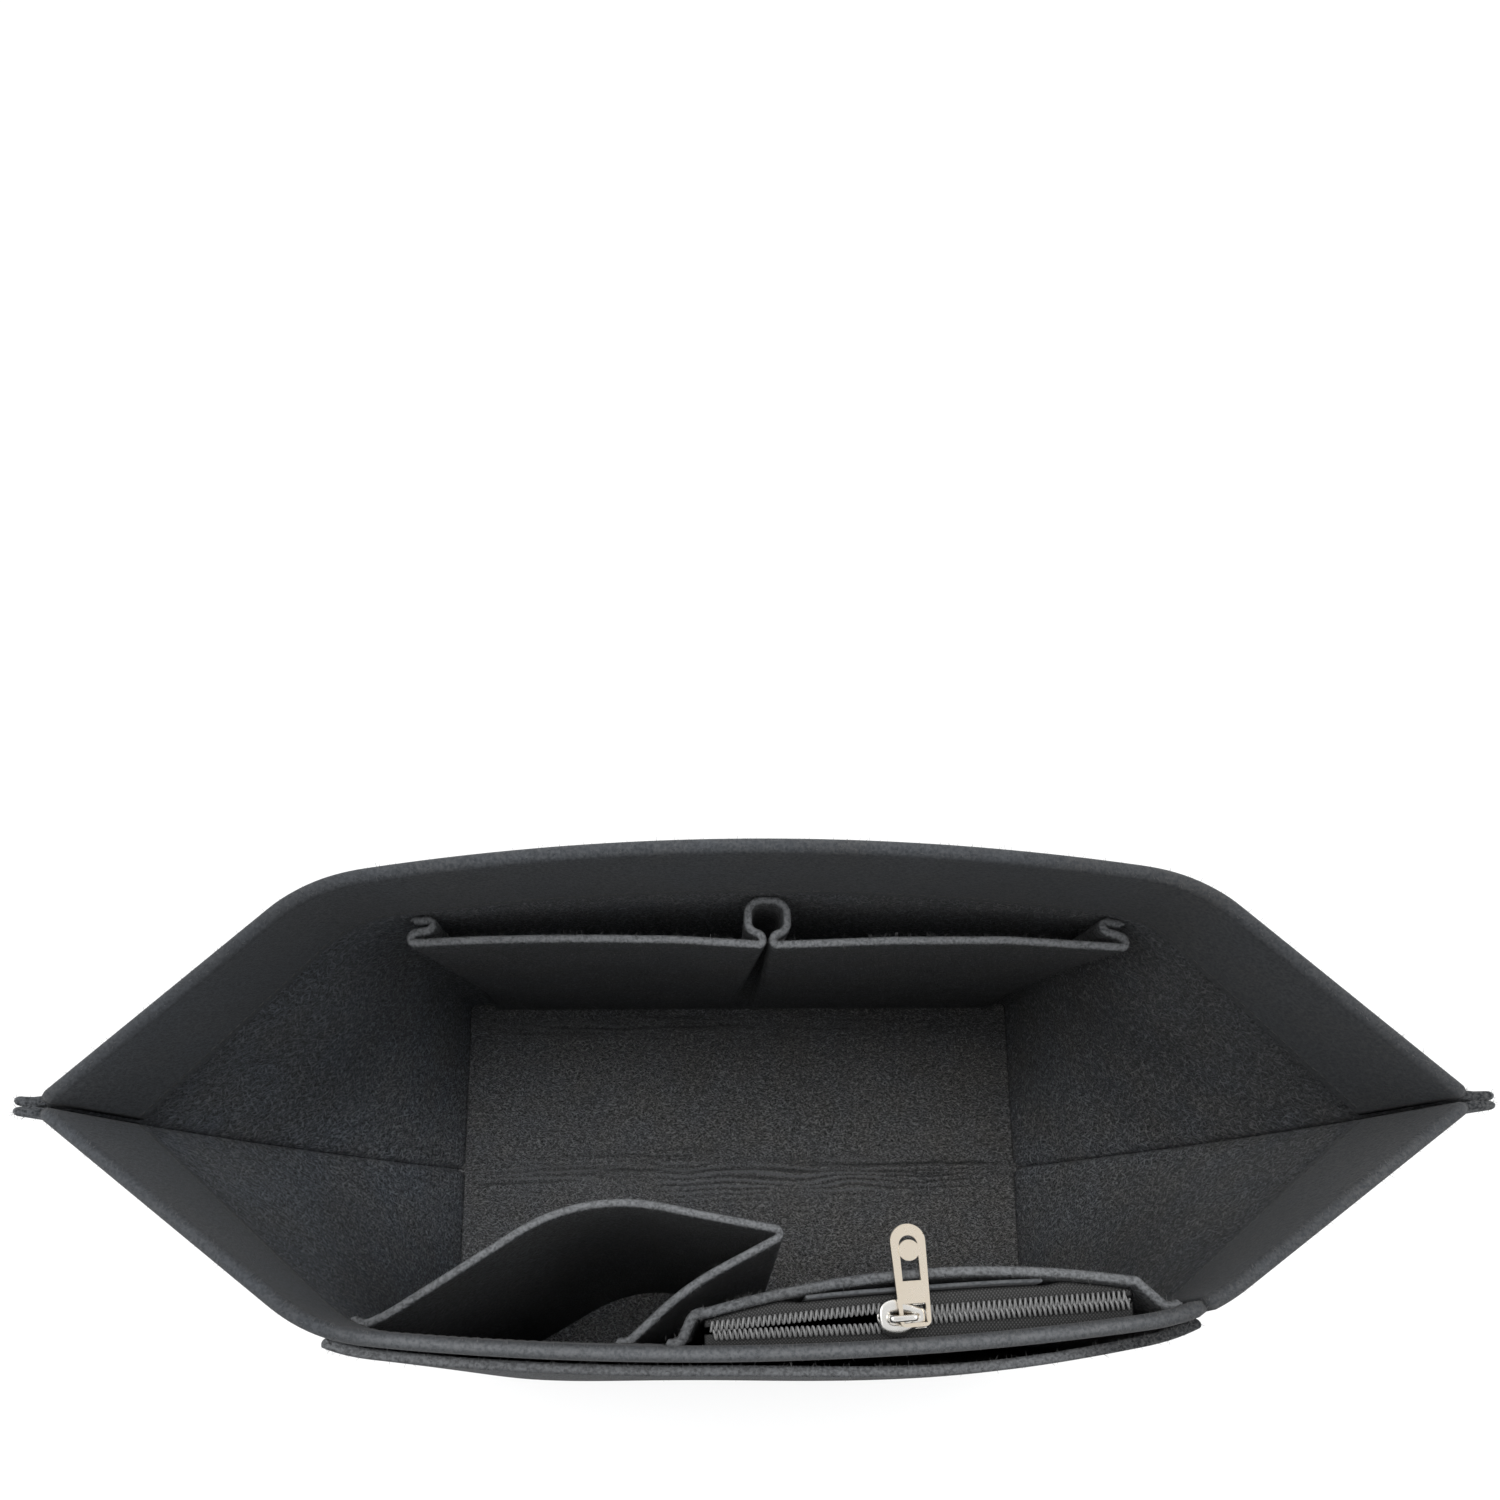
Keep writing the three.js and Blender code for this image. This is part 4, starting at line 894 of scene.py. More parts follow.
def backPocketFelt():
    # a pleat at each side and a pen loop in the middle, all opened out flat along the lower edge
    s = backPocket
    top = bandEdge - s["drop"]
    middle = s["shift"]
    neck = cloth["felt"] / 2 + cloth["gap"]
    foldDepth = seat + 2 * s["slant"] + 2 * s["step"]
    edges = np.array([middle - s["half"], middle + s["half"]])
    face = float(wallReach(backWall, np.array(middle), np.array(top))
                 - (wallReach(backWall, edges, np.full(2, top)) - foldDepth).mean())
    upper, lower = [], []
    for hand in (-1, 1):
        edge = middle + hand * s["half"]
        crease = edge - hand * s["pleat"]
        first = seat + s["slant"]
        steps = (s["faceSteps"], 3) if hand < 0 else (3, s["faceSteps"])
        high = [
            (edge, seat, 0, 4), (crease, first, s["bend"], 3), (crease, first + s["step"], s["bend"], 4),
            (edge, first + s["slant"] + s["step"], s["bend"], 3), (edge, foldDepth, s["bend"], steps[0]),
            (middle + hand * neck, face, s["bend"], steps[1]),
            (middle + hand * neck, face - s["step"], s["bend"], 4),
            (middle + hand * s["loopHalf"], face - s["loopMouth"], s["loopBend"], 5),
            (middle + hand * s["loopHalf"], seat, s["loopCrown"], 5),
        ]
        baseEdge = s["baseShift"] + hand * s["baseHalf"]
        outside = [baseEdge - hand * n * s["unfolded"] for n in range(5)]
        inside = [s["baseShift"] + hand * (9 - n) * s["loopUnfolded"] for n in range(5, 9)]
        low = [(x, seat, min(c[2], cloth["gap"]), c[3]) for x, c in zip(outside + inside, high)]
        if hand > 0:
            counts = [c[3] for c in high]
            counts = [counts[0], *counts[:-1]]
            high = [(*c[:3], n) for c, n in zip(high, counts)][::-1]
            low = [(*c[:3], n) for c, n in zip(low, counts)][::-1]
        upper += high
        lower += low
    grid = pocketGrid(backWall, lower, upper, top, s["rows"])
    piece = feltSheet("backPocketFelt", grid, cloth["felt"], feltFinish, ("top",))
    sew(grid[:, 5] - (0, cloth["felt"] / 2, 0), np.array([0.0, -1.0, 0.0]))
    fray(grid[:, -1], gridNormals(grid)[:, -1], np.array([0.0, 0.0, 1.0]))
    return finishPiece(piece, "felt_body", ["back_pocket"])


openPocket = {
    "inset": 2.0, "seam": -40.0, "fold": 12.5, "foldDepth": 38.5, "bulge": 52.0, "bulgeAt": -56.0,
    "bulgeBend": 26.0, "back": 21.0, "backAt": -21.0, "backBend": 14.0, "baseLeft": -107.0, "baseFoldDepth": 19.0,
    "baseBulge": 33.0, "baseBulgeAt": -55.0, "baseBack": 11.0, "drop": 3.0, "foldBend": 5.0, "rows": 84,
    "shade": 0.4,
    "cut": {"flat": (0.215, 0.174), "area": 0.0343, "held": "folded", "on": ["frontPanelFelt"]},
}


def openPocketFelt():
    # one strip sewn to the front wall at both ends, bulged out and folded back on itself at its right
    s = openPocket
    top = bandEdge - s["drop"]
    left = float(s["inset"] - planAt(frontWall, levelOf(np.array(top)))["cornerX"])

    def path(start, bulgeAt, bulge, foldDepth, back):
        # corners of the strip's plan at one height
        return [
            (start - cloth["flange"], seat, 0, 3), (start, seat, cloth["flange"], 26),
            (bulgeAt, bulge, s["bulgeBend"], 22), (s["fold"], foldDepth, s["foldBend"], 18),
            (s["backAt"], back, s["backBend"], 8), (s["seam"], seat, cloth["flange"], 3),
            (s["seam"] - cloth["flange"], seat, 0, 1),
        ]

    lower = path(s["baseLeft"], s["baseBulgeAt"], s["baseBulge"], s["baseFoldDepth"], s["baseBack"])
    upper = path(left, s["bulgeAt"], s["bulge"], s["foldDepth"], s["back"])
    grid = pocketGrid(frontWall, lower, upper, top, s["rows"])
    # shade paints shade on the strip's inner face
    piece = feltSheet("openPocketFelt", grid, cloth["felt"], feltFinish, ("top",), shade=s["shade"])
    fray(grid[:, -1], gridNormals(grid)[:, -1], np.array([0.0, 0.0, 1.0]))
    return finishPiece(piece, "felt_body", ["open_pocket"])


zipPocket = {
    "spacing": 14.0, "left": -14.0, "right": 107.5, "drop": 8.7, "proud": 2.2, "draw": 0.8, "swell": 6.5,
    "shoulder": 4.0, "rightShoulder": 1.5, "shoulderBend": 3.0, "endRun": 8.5,
    "facing": (14.0, 82.0), "facingDepth": 14.0, "gape": 1.5, "blend": 8.0,
    "tape": 0.5, "tapeDrop": 7.0, "tapeBend": 1.2, "overrun": 1.0, "rows": 84,
    "pale": (0.5, 0.35), "palerFrom": (15, 60), "facingPale": 0.4,
    "cut": {"flat": (0.157, 0.204), "area": 0.0306, "held": "hung", "on": ["frontPanelFelt"]},
    "facingCut": {"flat": (0.0682, 0.0143), "area": 0.00097, "held": "hung", "on": ["zipPocketFelt"]},
    "tapeCuts": {
        "zipTapeWallSide": {"flat": (0.124, 0.0129), "area": 0.00146, "held": "folded", "on": ["frontPanelFelt"]},
        "zipTapePocketSide": {"flat": (0.1245, 0.012), "area": 0.00134, "held": "folded", "on": ["zipPocketFelt"]},
    },
}
teeth = {
    "pitch": 1.5, "inner": -0.5, "outer": 2.8, "height": 1.8, "lift": 0.15, "spread": 1.6, "wire": 0.36,
    "steps": 18,
}
slider = {"at": 41.5, "length": 13.6, "half": 5.2, "closing": 1.5, "post": 0.7, "running": 0.3}

zipHeight = body["rim"] - zipPocket["drop"]
zipTop = zipHeight + zipPocket["proud"]
zipSlit = slider["post"] + slider["running"]
zipSetback = cloth["felt"] / 2 + 2 * cloth["gap"] + zipPocket["tape"] + slider["half"]
zipSpan = teeth["outer"] + zipPocket["tape"] + 2 * cloth["gap"] + cloth["felt"] / 2
zipEnds = np.array([zipPocket["left"], zipPocket["right"]])
zipReaches = wallReach(frontWall, zipEnds, np.full(2, zipHeight)) - zipSetback + np.array([zipPocket["draw"], 0])
zipAngle = np.arctan2(zipReaches[0] - zipReaches[1], zipEnds[1] - zipEnds[0])
zipLength = (zipEnds[1] - zipEnds[0]) / np.cos(zipAngle)
sliderPlace = (slider["at"] - zipEnds[0]) / np.cos(zipAngle)


def zipReach(x):
    # distance of the zip's straight line from the middle plane
    return lerp(zipReaches[0], zipReaches[1], (x - zipEnds[0]) / (zipEnds[1] - zipEnds[0]))


def rowShift(place):
    # how far each row of teeth stands aside: a narrow V left of the slider, none where the zip is closed
    mouth = sliderPlace - slider["length"] / 2
    parted = teeth["spread"] * np.clip(place / mouth, 0, 1)
    return parted * (1 - ease(place, mouth, sliderPlace + slider["closing"]))


def zipPanelEdge(x):
    # depth of the panel's edge: beside the tape, swelling away from the middle of the zip on a parabola
    half = (zipEnds[1] - zipEnds[0]) / 2
    off = (x - zipEnds[0] - half) / half
    swell = zipPocket["swell"] * np.maximum(0, 1 - off ** 2)
    return wallReach(frontWall, x, zipTop + 0 * x) - zipReach(x) + zipSpan + swell


def zipPanelDepth(x, z):
    # depth of the panel, growing evenly from the foot to its edge
    return lerp(seat, zipPanelEdge(x), (z - pocketFloor) / (zipTop - pocketFloor))


def zipPanelFelt():
    # a panel leaning out from the foot of the wall to the zip
    s = zipPocket
    left = openPocket["seam"] + s["spacing"] + cloth["flange"]
    first = zipEnds[0] - s["shoulder"]
    last = zipEnds[1] + s["rightShoulder"]
    between = np.linspace(zipEnds[0], zipEnds[1], 60)

    def path(depthAt):
        # corners of the panel's plan at one height, its depth taken from a function of x
        depth = depthAt(np.array([first, *between, last]))
        bends = [s["shoulderBend"], *[0] * len(between), s["shoulderBend"]]
        runs = [1, *[1] * len(between), 6]
        edge = list(zip([first, *between, last], depth, bends, runs))
        return [
            (left - cloth["flange"], seat, 0, 3), (left, seat, s["shoulderBend"], 8), *edge,
            (last + s["endRun"], seat, s["shoulderBend"], 3), (last + s["endRun"] + cloth["flange"], seat, 0, 1),
        ]

    grid = pocketGrid(frontWall, path(lambda x: seat + 0 * x), path(zipPanelEdge), zipTop, s["rows"])
    bleached = s["pale"][0] + s["pale"][1] * ease(grid[..., 0], *s["palerFrom"])
    piece = feltSheet("zipPocketFelt", grid, cloth["felt"], feltFinish, ("top",), pale=bleached)
    inward = gridNormals(grid)
    inward = inward * np.sign(inward[..., 1:2])
    for row in (-7, 5):
        sew((grid + inward * cloth["felt"] / 2)[6:-6, row], inward[6:-6, row])
    fray(grid[:, -1], inward[:, -1], np.array([0.0, 0.0, 0.15]))  # nearly flat, clear of the pull
    return finishPiece(piece, "felt_body", ["zip_pocket_panel"])


def facingStandOff(x):
    # how far the facing's middle stands off the panel: half a sine wave from end to end
    left, right = zipPocket["facing"]
    return zipPocket["gape"] * np.sin(np.pi * np.clip((x - left) / (right - left), 0, 1))


def zipFacingFelt():
    # thin felt behind the middle of the zip pocket's edge, standing a little off it
    s = zipPocket
    behind = cloth["felt"] / 2 + cloth["gap"] + cloth["thin"] / 2
    left, right = s["facing"]
    x = lerp(left, right, edgeShares(60, right - left, 0.5))[:, None]
    z = zipTop - cloth["gap"] - s["facingDepth"] * (1 - edgeShares(12, s["facingDepth"], 0.5))[None, :]
    depth = zipPanelDepth(x + 0 * z, z + 0 * x) - behind - facingStandOff(x)
    grid = insideWall(frontWall, x, depth, z)
    piece = feltSheet("zipFacingFelt", grid, cloth["thin"], bandFinish, ("top",), reach=0.5, pale=s["facingPale"])
    return finishPiece(piece, "felt_body", ["zip_facing"])


def zipTape(name, hand, legDepth, node):
    # woven tape: flat from under its coil to the felt, round a small bend, then down along the felt
    s = zipPocket
    middle = zipHeight - s["tape"] / 2
    x = np.linspace(zipEnds[0] - s["overrun"], zipEnds[1] + s["overrun"], 160)[:, None]
    slit = zipSlit + rowShift((x - zipEnds[0]) / np.cos(zipAngle))
    start = hand * slit - zipReach(x)

    def leg(z):
        # the tape's place at a height, along the felt that it is sewn to
        return insideWall(frontWall, x, legDepth(x + 0 * z, z + 0 * x), z)

    fold = leg(np.array([[middle]]))[..., 1] - hand * s["tapeBend"]
    flat = lerp(start, fold, np.linspace(0, 1, 8)[None, :])
    turn = np.linspace(0, np.pi / 2, 7)[None, 1:]
    bend = leg(middle - s["tapeBend"] * (1 - np.cos(turn)))
    bend[..., 1] -= hand * s["tapeBend"] * (1 - np.sin(turn))
    down = leg(middle - np.linspace(s["tapeBend"] + 0.4, s["tapeDrop"], 10)[None, :])
    top = np.stack([x + 0 * flat, flat, middle + 0 * flat], -1)
    grid = np.concatenate([top, bend, down], 1)
    piece = feltSheet(name, grid, s["tape"], tapeFinish, reach=0.25)
    return finishPiece(piece, "felt_body", [node])


def wallTapeLeg(x, z):
    # against the front wall
    return cloth["felt"] / 2 + cloth["gap"] + zipPocket["tape"] / 2 + 0 * x


def pocketTapeLeg(x, z):
    # behind the panel, and behind the facing where there is one
    left, right = zipPocket["facing"]
    over = ease(x, left - zipPocket["blend"], left) * (1 - ease(x, right, right + zipPocket["blend"]))
    behind = cloth["felt"] / 2 + cloth["gap"] + zipPocket["tape"] / 2 + over * (cloth["thin"] + cloth["gap"])
    return zipPanelDepth(x, z) - behind - facingStandOff(x)


def alongZip(place, across, up):
    # a point by its place along the chain, its distance towards the inside and its height above the tapes
    cos, sin = np.cos(zipAngle), np.sin(zipAngle)
    x = zipEnds[0] + place * cos - across * sin
    y = -zipReaches[0] + place * sin + across * cos
    return np.stack([x, y, zipHeight + up], -1)


def zipCoil(name, hand, node):
    # one filament wound in a flat helix: a full turn for each tooth, its inner bends reaching past the middle
    s = teeth
    turns = int(zipLength / s["pitch"]) - 1
    angle = np.linspace(0, 2 * np.pi * turns, turns * s["steps"])
    place = s["pitch"] * (angle / (2 * np.pi) + (0.5 if hand > 0 else 1.0))
    halfWide = (s["outer"] - s["inner"]) / 2 - s["wire"]
    halfHigh = s["height"] / 2 - s["wire"]
    across = (s["outer"] + s["inner"]) / 2 - halfWide * np.cos(angle) + rowShift(place)
    up = s["lift"] + s["height"] / 2 + halfHigh * np.sin(angle)
    path = alongZip(place, hand * across, up)
    inside = alongZip(place, 0 * place, 0 * place) - path
    points, faces = tube(path, s["wire"], 8, inside)
    piece = putMesh(name, points, faces, coilFinish)
    return finishPiece(piece, "felt_body", [node])


backPocketFelt()
openPocketFelt()
zipPanelFelt()
zipFacingFelt()
zipTape("zipTapeWallSide", -1, wallTapeLeg, "zip_tape_wall_side")
zipTape("zipTapePocketSide", 1, pocketTapeLeg, "zip_tape_pocket_side")
zipCoil("zipCoilWallSide", -1, "zip_coil_wall_side")
zipCoil("zipCoilPocketSide", 1, "zip_coil_pocket_side")
print("inside pockets and zip ready")

outerPocket = {
    "drop": 7.0, "belly": 6.5, "gape": 2.6, "gapeAt": 62.0, "gapeHalf": 75.0, "rows": 96, "reach": 0.7,
    "leftTrim": 5, "rightTrim": 4, "edgeShares": (0, 0.04, 0.16, 0.34, 0.56), "pale": 0.7, "paleTo": (80, 106),
    "cut": {"flat": (0.307, 0.209), "area": 0.0586, "held": "hung", "on": ["frontPanelFelt"]},
}


def fineEnds(grid, shares):
    # extra columns between the first two and the last two of a grid, so that its side edges can be rounded
    count = len(grid)
    index = np.concatenate([shares, np.arange(1, count - 1), count - 1 - shares[::-1]])
    low = np.minimum(index.astype(int), count - 2)
    return lerp(grid[low], grid[low + 1], (index - low)[:, None, None])


def outerPocketFelt():
    # the front wall's surface between its corners set off outwards, swelling on half a sine wave up its height, its
    # edge open at the right
    s = outerPocket
    top = levelOf(body["rim"] - s["drop"])
    levels = np.concatenate([wallLevels[:5], top * edgeShares(s["rows"], body["rim"], cloth["round"])[4:]])
    corner = sum(len(part) for part in wallColumns()[:2])
    grid = wallGrid(frontWall, levels, lowered=False)[0][corner + s["leftTrim"]:-corner - s["rightTrim"]]
    grid = fineEnds(grid, np.array(s["edgeShares"]))
    x, z = grid[..., 0], grid[..., 2]
    across = (2 * x - x[-1] - x[0]) / (x[-1] - x[0])
    share = z / body["rim"]
    near = ease(1 - np.abs(x - s["gapeAt"]) / s["gapeHalf"], 0, 1)
    swell = s["belly"] * np.sin(np.pi * share) * (1 - across ** 4)
    away = seat + swell + s["gape"] * near * share ** 3
    grid = grid + gridNormals(grid) * away[..., None]
    bleached = s["pale"] * fall(grid[..., 0], *s["paleTo"])
    piece = feltSheet("outerPocketFelt", grid, cloth["felt"], feltFinish, ("top",), reach=s["reach"], pale=bleached)
    outward = gridNormals(grid)
    skin = grid + outward * cloth["felt"] / 2
    for column in (6, -7):
        sew(skin[column, 6:-4], outward[column, 6:-4])
    sew(skin[6:-6, 6], outward[6:-6, 6])
    fray(grid[:, -1], outward[:, -1], np.array([0.0, 0.0, 1.0]))
    return finishPiece(piece, "felt_body", ["outer_pocket"])


outerPocketFelt()
print("outside pocket ready")


# Zip slider, cast anew with rounded forms, and the frame's own pull with softened edges

cast = {
    "shoulder": 2.2, "mouth": 2.2, "tail": 2.6, "lower": 4.4, "roof": 2.25, "top": 3.45, "floor": -0.8,
    "under": -2.0, "legs": (-3.9, 3.0), "bar": 6.35, "barWide": 1.15, "barHigh": 0.72, "postLength": 4.2,
    "nose": -6.5, "waist": 0.2, "bowl": (-0.3, 5.2, 2.0), "rimShade": 0.12,
}


def curve(points, steps):
    # smooth path: each run of the control polygon taken as a quadratic spline between its midpoints
    control = np.array(points, float)
    middle = (control[1:] + control[:-1]) / 2
    start = np.concatenate([control[:1], middle[1:-1], control[-1:]])
    t = np.linspace(0, 1, steps, endpoint=False)[:, None]
    runs = [(1 - t) ** 2 * a + 2 * t * (1 - t) * c + t * t * b
            for a, c, b in zip(start, control[1:-1], start[1:])]
    return np.concatenate([*runs, control[-1:]])


def castOutline(half, tail):
    # shield seen from above: round lobes at the mouth, hollow flanks, and a narrow round tail
    s = cast
    end = slider["length"] / 2
    flank = curve([
        (-end, 0), (-end, s["mouth"] + 0.4), (-end + 1.5, half - 0.5), (-s["shoulder"], half + 0.35),
        (0.2, half - 0.1), (2.0, 0.6 * half + 0.4 * tail), (end - 2.4, tail), (end, 0.8 * tail), (end, 0)], 6)
    return np.concatenate([flank[:-1], flank[:0:-1] * (1, -1)])


def pillow(outline, profile):
    # the outline stacked in rings, each drawn in by a share of its own size and set at a height
    rings = [np.concatenate([outline * (1 - 0.5 * inset, 1 - inset), np.full((len(outline), 1), high)], -1)
             for inset, high in profile]
    return loft(np.stack(rings)[:, ::-1])


def flange(hand):
    # side wall round one row of teeth: from the channel's wall out to the outline, along the slider
    s = cast
    u = np.linspace(-slider["length"] / 2 + 2.6, slider["length"] / 2 - 0.3, 24)
    channel = teeth["outer"] + slider["running"]
    channel = channel + teeth["spread"] * fall(u, -slider["length"] / 2, slider["closing"])
    outer = np.maximum(channel + 0.35, np.interp(u, (u[0], -s["shoulder"], 1.5, u[-1]), (4.6, 5.1, 3.9, 3.5)))
    low, high = slider["running"] + 0 * u, s["roof"] + 0.3 + 0 * u
    ring = np.stack([
        np.stack([u, hand * channel, low], -1), np.stack([u, hand * outer - hand * 0.15, low], -1),
        np.stack([u, hand * outer, low + 0.3], -1), np.stack([u, hand * outer, high], -1),
        np.stack([u, hand * channel, high], -1)], 1)
    return loft(ring if hand < 0 else ring[:, ::-1])


def sliderCast():
    # crowned upper plate, lower plate, side flanges, wedge between the rows and an arched bridge, in the chain's own
    # directions, then laid in place on the chain
    s = cast
    dome = ((0.12, s["roof"]), (0.02, s["roof"] + 0.1), (0.0, s["roof"] + 0.5), (0.03, s["top"] - 0.35),
            (0.1, s["top"] - 0.08), (0.26, s["top"] + 0.1), (0.52, s["top"] + 0.14), (0.64, s["top"]),
            (0.74, s["top"] - 0.45), (0.95, s["top"] - 0.7))
    plate = ((0.15, s["under"]), (0.03, s["under"] + 0.2), (0.0, s["under"] + 0.6), (0.03, s["floor"] - 0.2),
             (0.12, s["floor"]))
    wedge = [(0, -0.35), (0.7, -0.7), (s["postLength"], -0.05), (s["postLength"], 0.05), (0.7, 0.7), (0, 0.35)]
    wedge = np.array(wedge) + (s["nose"], 0)
    left, right = s["legs"]
    top = s["top"] - 0.5
    arch = curve([(left, top), (left, 4.9), (left + 0.1, s["bar"]), (left + 2.2, s["bar"] + 0.25),
                  (right - 1.8, s["bar"]), (right, s["bar"] - 0.2), (right, 4.7), (right, top)], 8)
    ahead = unit(np.gradient(arch, axis=0))
    turn = np.linspace(0, 2 * np.pi, 14, endpoint=False)
    square = np.stack([np.sign(f(turn)) * np.abs(f(turn)) ** 0.85 for f in (np.cos, np.sin)], -1)
    waist = 1 - s["waist"] * np.sin(np.linspace(0, np.pi, len(arch)))[:, None]
    across = square[:, 0] * s["barWide"] * waist
    over = square[:, 1] * s["barHigh"]
    bridge = np.stack([arch[:, :1] - ahead[:, 1:] * over, across, arch[:, 1:] + ahead[:, :1] * over], -1)
    parts = [
        pillow(castOutline(slider["half"] - 0.1, s["tail"]), dome),
        pillow(castOutline(s["lower"], s["tail"]), plate),
        flange(-1), flange(1), loft(bridge),
        loft(np.stack([np.concatenate([wedge, np.full((len(wedge), 1), high)], -1)
                       for high in (s["floor"] - 0.4, s["roof"] + 0.4)])),
    ]
    points, faces = joined(parts)
    placed = alongZip(sliderPlace + points[:, 0], points[:, 1], points[:, 2])
    # the hollow mark sets brown painted shade in the bowl round the bridge, faint on the raised top
    middle, long, broad = s["bowl"]
    inside = 1 - ease(np.hypot((points[:, 0] - middle) / long, points[:, 1] / broad), 0.75, 1.0)
    hollow = inside * (points[:, 2] > s["roof"]) * np.where(points[:, 2] < s["top"] - 0.1, 1.0, s["rimShade"])
    piece = putMesh("zipSliderCast", placed, faces, sliderFinish, marks={"hollow": hollow})
    return finishPiece(piece, "slider", ["zip_slider"])


pullEdges = {"width": 0.55, "weld": 1e-6, "flat": 1, "sharp": 35, "steps": 3}


def softenEdges(node, finish):
    # welds the solid's triangles, joins flat faces and rounds every sharp edge
    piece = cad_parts[node]
    piece.data.materials.clear()
    piece.data.materials.append(finish)
    weld = piece.modifiers.new("weld", "WELD")
    weld.merge_threshold = pullEdges["weld"]
    flat = piece.modifiers.new("flat", "DECIMATE")
    flat.decimate_type = "DISSOLVE"
    flat.angle_limit = np.radians(pullEdges["flat"])
    bevel = piece.modifiers.new("bevel", "BEVEL")
    bevel.limit_method = "ANGLE"
    bevel.angle_limit = np.radians(pullEdges["sharp"])
    bevel.width = pullEdges["width"] * mm
    bevel.segments = pullEdges["steps"]
    bevel.harden_normals = True
    return piece


sliderCast()
softenEdges("pull_tab", pullFinish)
print("slider and pull finished")


# Thread and fibres

def ringShape(stations, sides):
    # a slim closed shape along x from rings of a given place, radius and sideways bend
    turn = np.linspace(0, 2 * np.pi, sides, endpoint=False)
    return loft(np.stack([
        np.stack([np.full(sides, x), bend + radius * np.cos(turn), radius * np.sin(turn)], -1)
        for x, radius, bend in stations]))


def layRows(name, shape, rows, sizes, finish):
    # one small shape at every place of the gathered rows, as a single piece
    centres = np.concatenate([row[0] for row in rows])
    axes = np.concatenate([row[1] for row in rows])
    points, faces = scatter(*shape, centres, axes, sizes(len(centres)))
    finishPiece(putMesh(name, points, faces, finish), "felt_body")


def stitchSizes(count):
    # all of one length and thickness
    return np.tile([seams["length"], seams["thick"], seams["thick"]], (count, 1))


def fibreSizes(count):
    # lengths drawn evenly from their range, all of one thickness
    long = np.random.default_rng(seedStart + 70).uniform(*fuzz["length"], count)
    return np.stack([long, np.full(count, fuzz["thick"]), np.full(count, fuzz["thick"])], -1)


stitchShape = ringShape(((-0.5, 0.15, 0), (-0.4, 0.5, 0), (0, 0.62, 0), (0.4, 0.5, 0), (0.5, 0.15, 0)), 6)
fibreShape = ringShape(((0, 1.0, 0), (0.5, 0.9, 2.5), (1, 0.4, 8)), 3)
layRows("seamStitches", stitchShape, stitchRows, stitchSizes, threadFinish)
layRows("edgeFibres", fibreShape, fuzzRows, fibreSizes, fibreFinish)
print("thread and fibres ready")


# Camera, light and floor

view = {
    "place": (-0.0102, -0.0430, 0.4343), "tilt": 0.1394, "yaw": -0.004, "focus": 793.13,
    "middle": (720.88, 1136.64), "picture": 1500, "sensor": 36.0,
}
lamps = {
    "overhead": {"place": (0.0, 0.2, 1.35), "aim": (0, 0, 0), "size": 0.6, "power": 11, "mirrored": False},
    "rightFill": {"place": (0.95, 0.2, 0.9), "aim": (0, 0, 0.15), "size": 0.7, "power": 2.2, "mirrored": True},
    "leftFill": {"place": (-0.95, 0.2, 0.9), "aim": (0, 0, 0.15), "size": 0.7, "power": 3.4, "mirrored": True},
}
studio = {
    "half": 4000.0, "drop": 0.3, "floor": 0.86, "lit": 0.7, "fill": 1.08, "fillTint": (0.98, 0.99, 1.0, 1.0),
    "ceiling": 0.72, "ceilingFrom": (0.55, 0.97),
}
white = (1.0, 1.0, 1.0, 1.0)


def makeCamera():
    # lens from the focal length in pixels; shifts from where the optical axis meets the picture
    data = bpy.data.cameras.new("view")
    data.sensor_width = view["sensor"]
    data.lens = view["focus"] / view["picture"] * view["sensor"]
    data.shift_x = 0.5 - view["middle"][0] / view["picture"]
    data.shift_y = view["middle"][1] / view["picture"] - 0.5
    data.clip_start = 0.01
    camera = bpy.data.objects.new("view", data)
    camera.location = view["place"]
    camera.rotation_euler = (view["tilt"], 0.0, view["yaw"])
    bpy.context.scene.collection.objects.link(camera)
    bpy.context.scene.camera = camera


def addLamp(name, place, aim, size, power, mirrored):
    # a square soft lamp that faces a point, and shows in polished metal where asked
    data = bpy.data.lights.new(name, "AREA")
    data.size = size
    data.energy = power
    lamp = bpy.data.objects.new(name, data)
    lamp.visible_glossy = mirrored
    lamp.location = place
    towards = np.array(aim) - np.array(place)
    lamp.rotation_euler = (np.arctan2(np.hypot(*towards[:2]), -towards[2]), 0.0,
                           np.arctan2(towards[1], towards[0]) - np.pi / 2)
    bpy.context.scene.collection.objects.link(lamp)


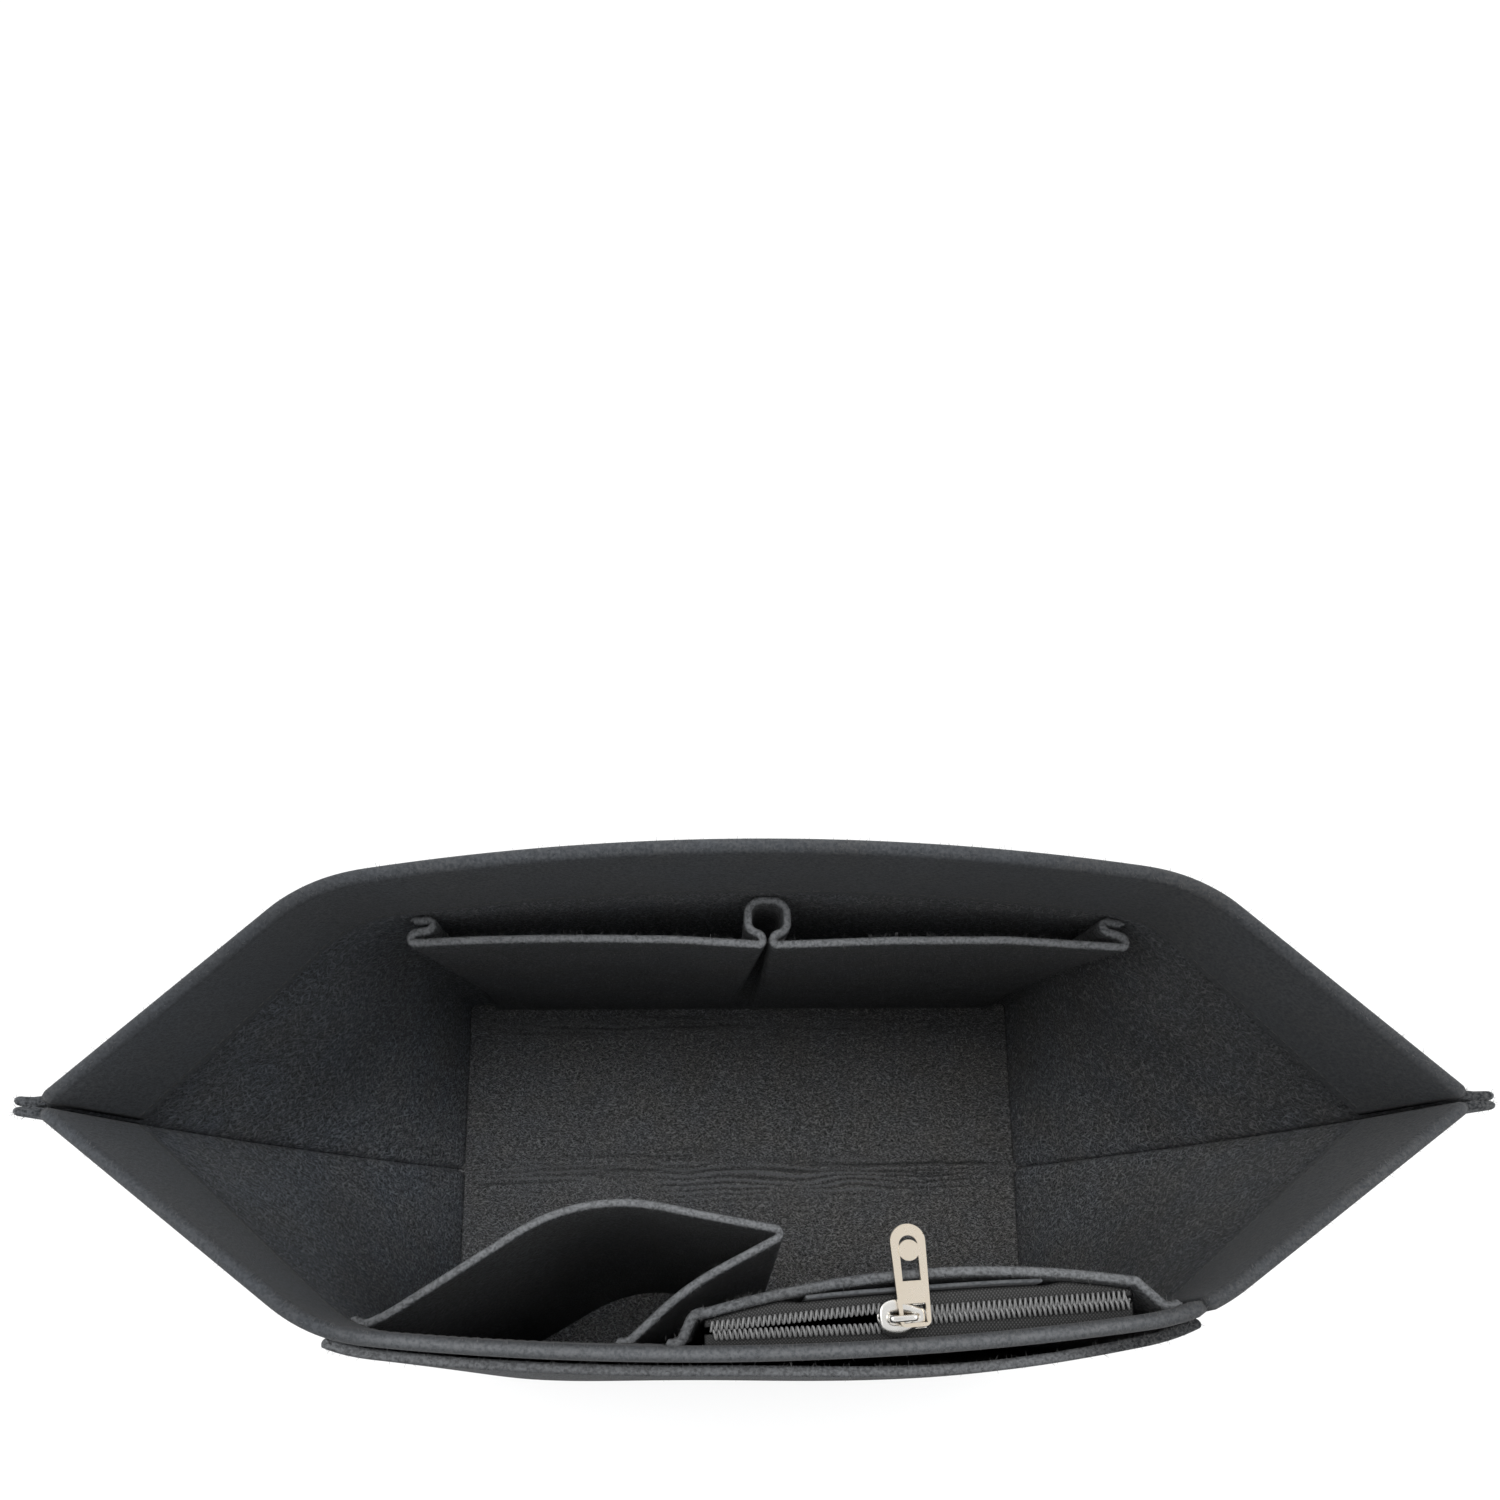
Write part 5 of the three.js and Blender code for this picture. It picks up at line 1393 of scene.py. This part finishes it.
def seenDirectly(tree):
    # 1 for what the camera sees, also by reflection or through glass
    path = addNode(tree, "ShaderNodeLightPath")
    seen = mathNode(tree, "MAXIMUM", path.outputs["Is Camera Ray"], path.outputs["Is Glossy Ray"])
    return mathNode(tree, "MAXIMUM", seen, path.outputs["Is Transmission Ray"])


def makeFloor():
    # a wide pale floor that looks nearly white and keeps the shadow
    half, low = studio["half"], -studio["drop"]
    corners = np.array([[-half, -half, low], [half, -half, low], [half, half, low], [-half, half, low]])
    material, tree, shader = newMaterial("paleFloor", {"Base Color": grey(studio["floor"]), "Roughness": 0.9})
    glow = addNode(tree, "ShaderNodeEmission", {"Color": white, "Strength": 1.0})
    share = mathNode(tree, "MULTIPLY", seenDirectly(tree), studio["lit"])
    mixed = addNode(tree, "ShaderNodeMixShader", {0: share, 1: shader.outputs[0], 2: glow.outputs[0]})
    output = next(n for n in tree.nodes if n.type == "OUTPUT_MATERIAL")
    tree.links.new(mixed.outputs[0], output.inputs["Surface"])
    floor = putMesh("floor", corners, [np.array([[0, 1, 2, 3]])], material)


def makeWorld():
    # an even pale surrounding, white where it is seen, with a greyer ceiling for polished metal
    world = bpy.data.worlds.new("studio")
    world.use_nodes = True
    tree = world.node_tree
    tree.nodes.clear()
    soft = addNode(tree, "ShaderNodeBackground", {"Color": studio["fillTint"], "Strength": studio["fill"]})
    heading = addNode(tree, "ShaderNodeTexCoord").outputs["Generated"]
    height = addNode(tree, "ShaderNodeSeparateXYZ", {0: heading}).outputs["Z"]
    mirrored = addNode(tree, "ShaderNodeLightPath").outputs["Is Glossy Ray"]
    roofed = mathNode(tree, "MULTIPLY", spread(tree, height, *studio["ceilingFrom"]), mirrored)
    sky = colourMix(tree, roofed, white, grey(studio["ceiling"]))
    plain = addNode(tree, "ShaderNodeBackground", {"Color": sky, "Strength": 1.0})
    mixed = addNode(tree, "ShaderNodeMixShader", {0: seenDirectly(tree), 1: soft.outputs[0], 2: plain.outputs[0]})
    addNode(tree, "ShaderNodeOutputWorld", {"Surface": mixed.outputs[0]})
    bpy.context.scene.world = world


makeCamera()
for name, lamp in lamps.items():
    addLamp(name, **lamp)
makeFloor()
makeWorld()
bpy.context.scene.view_settings.view_transform = "Standard"
print("camera, light and floor ready")
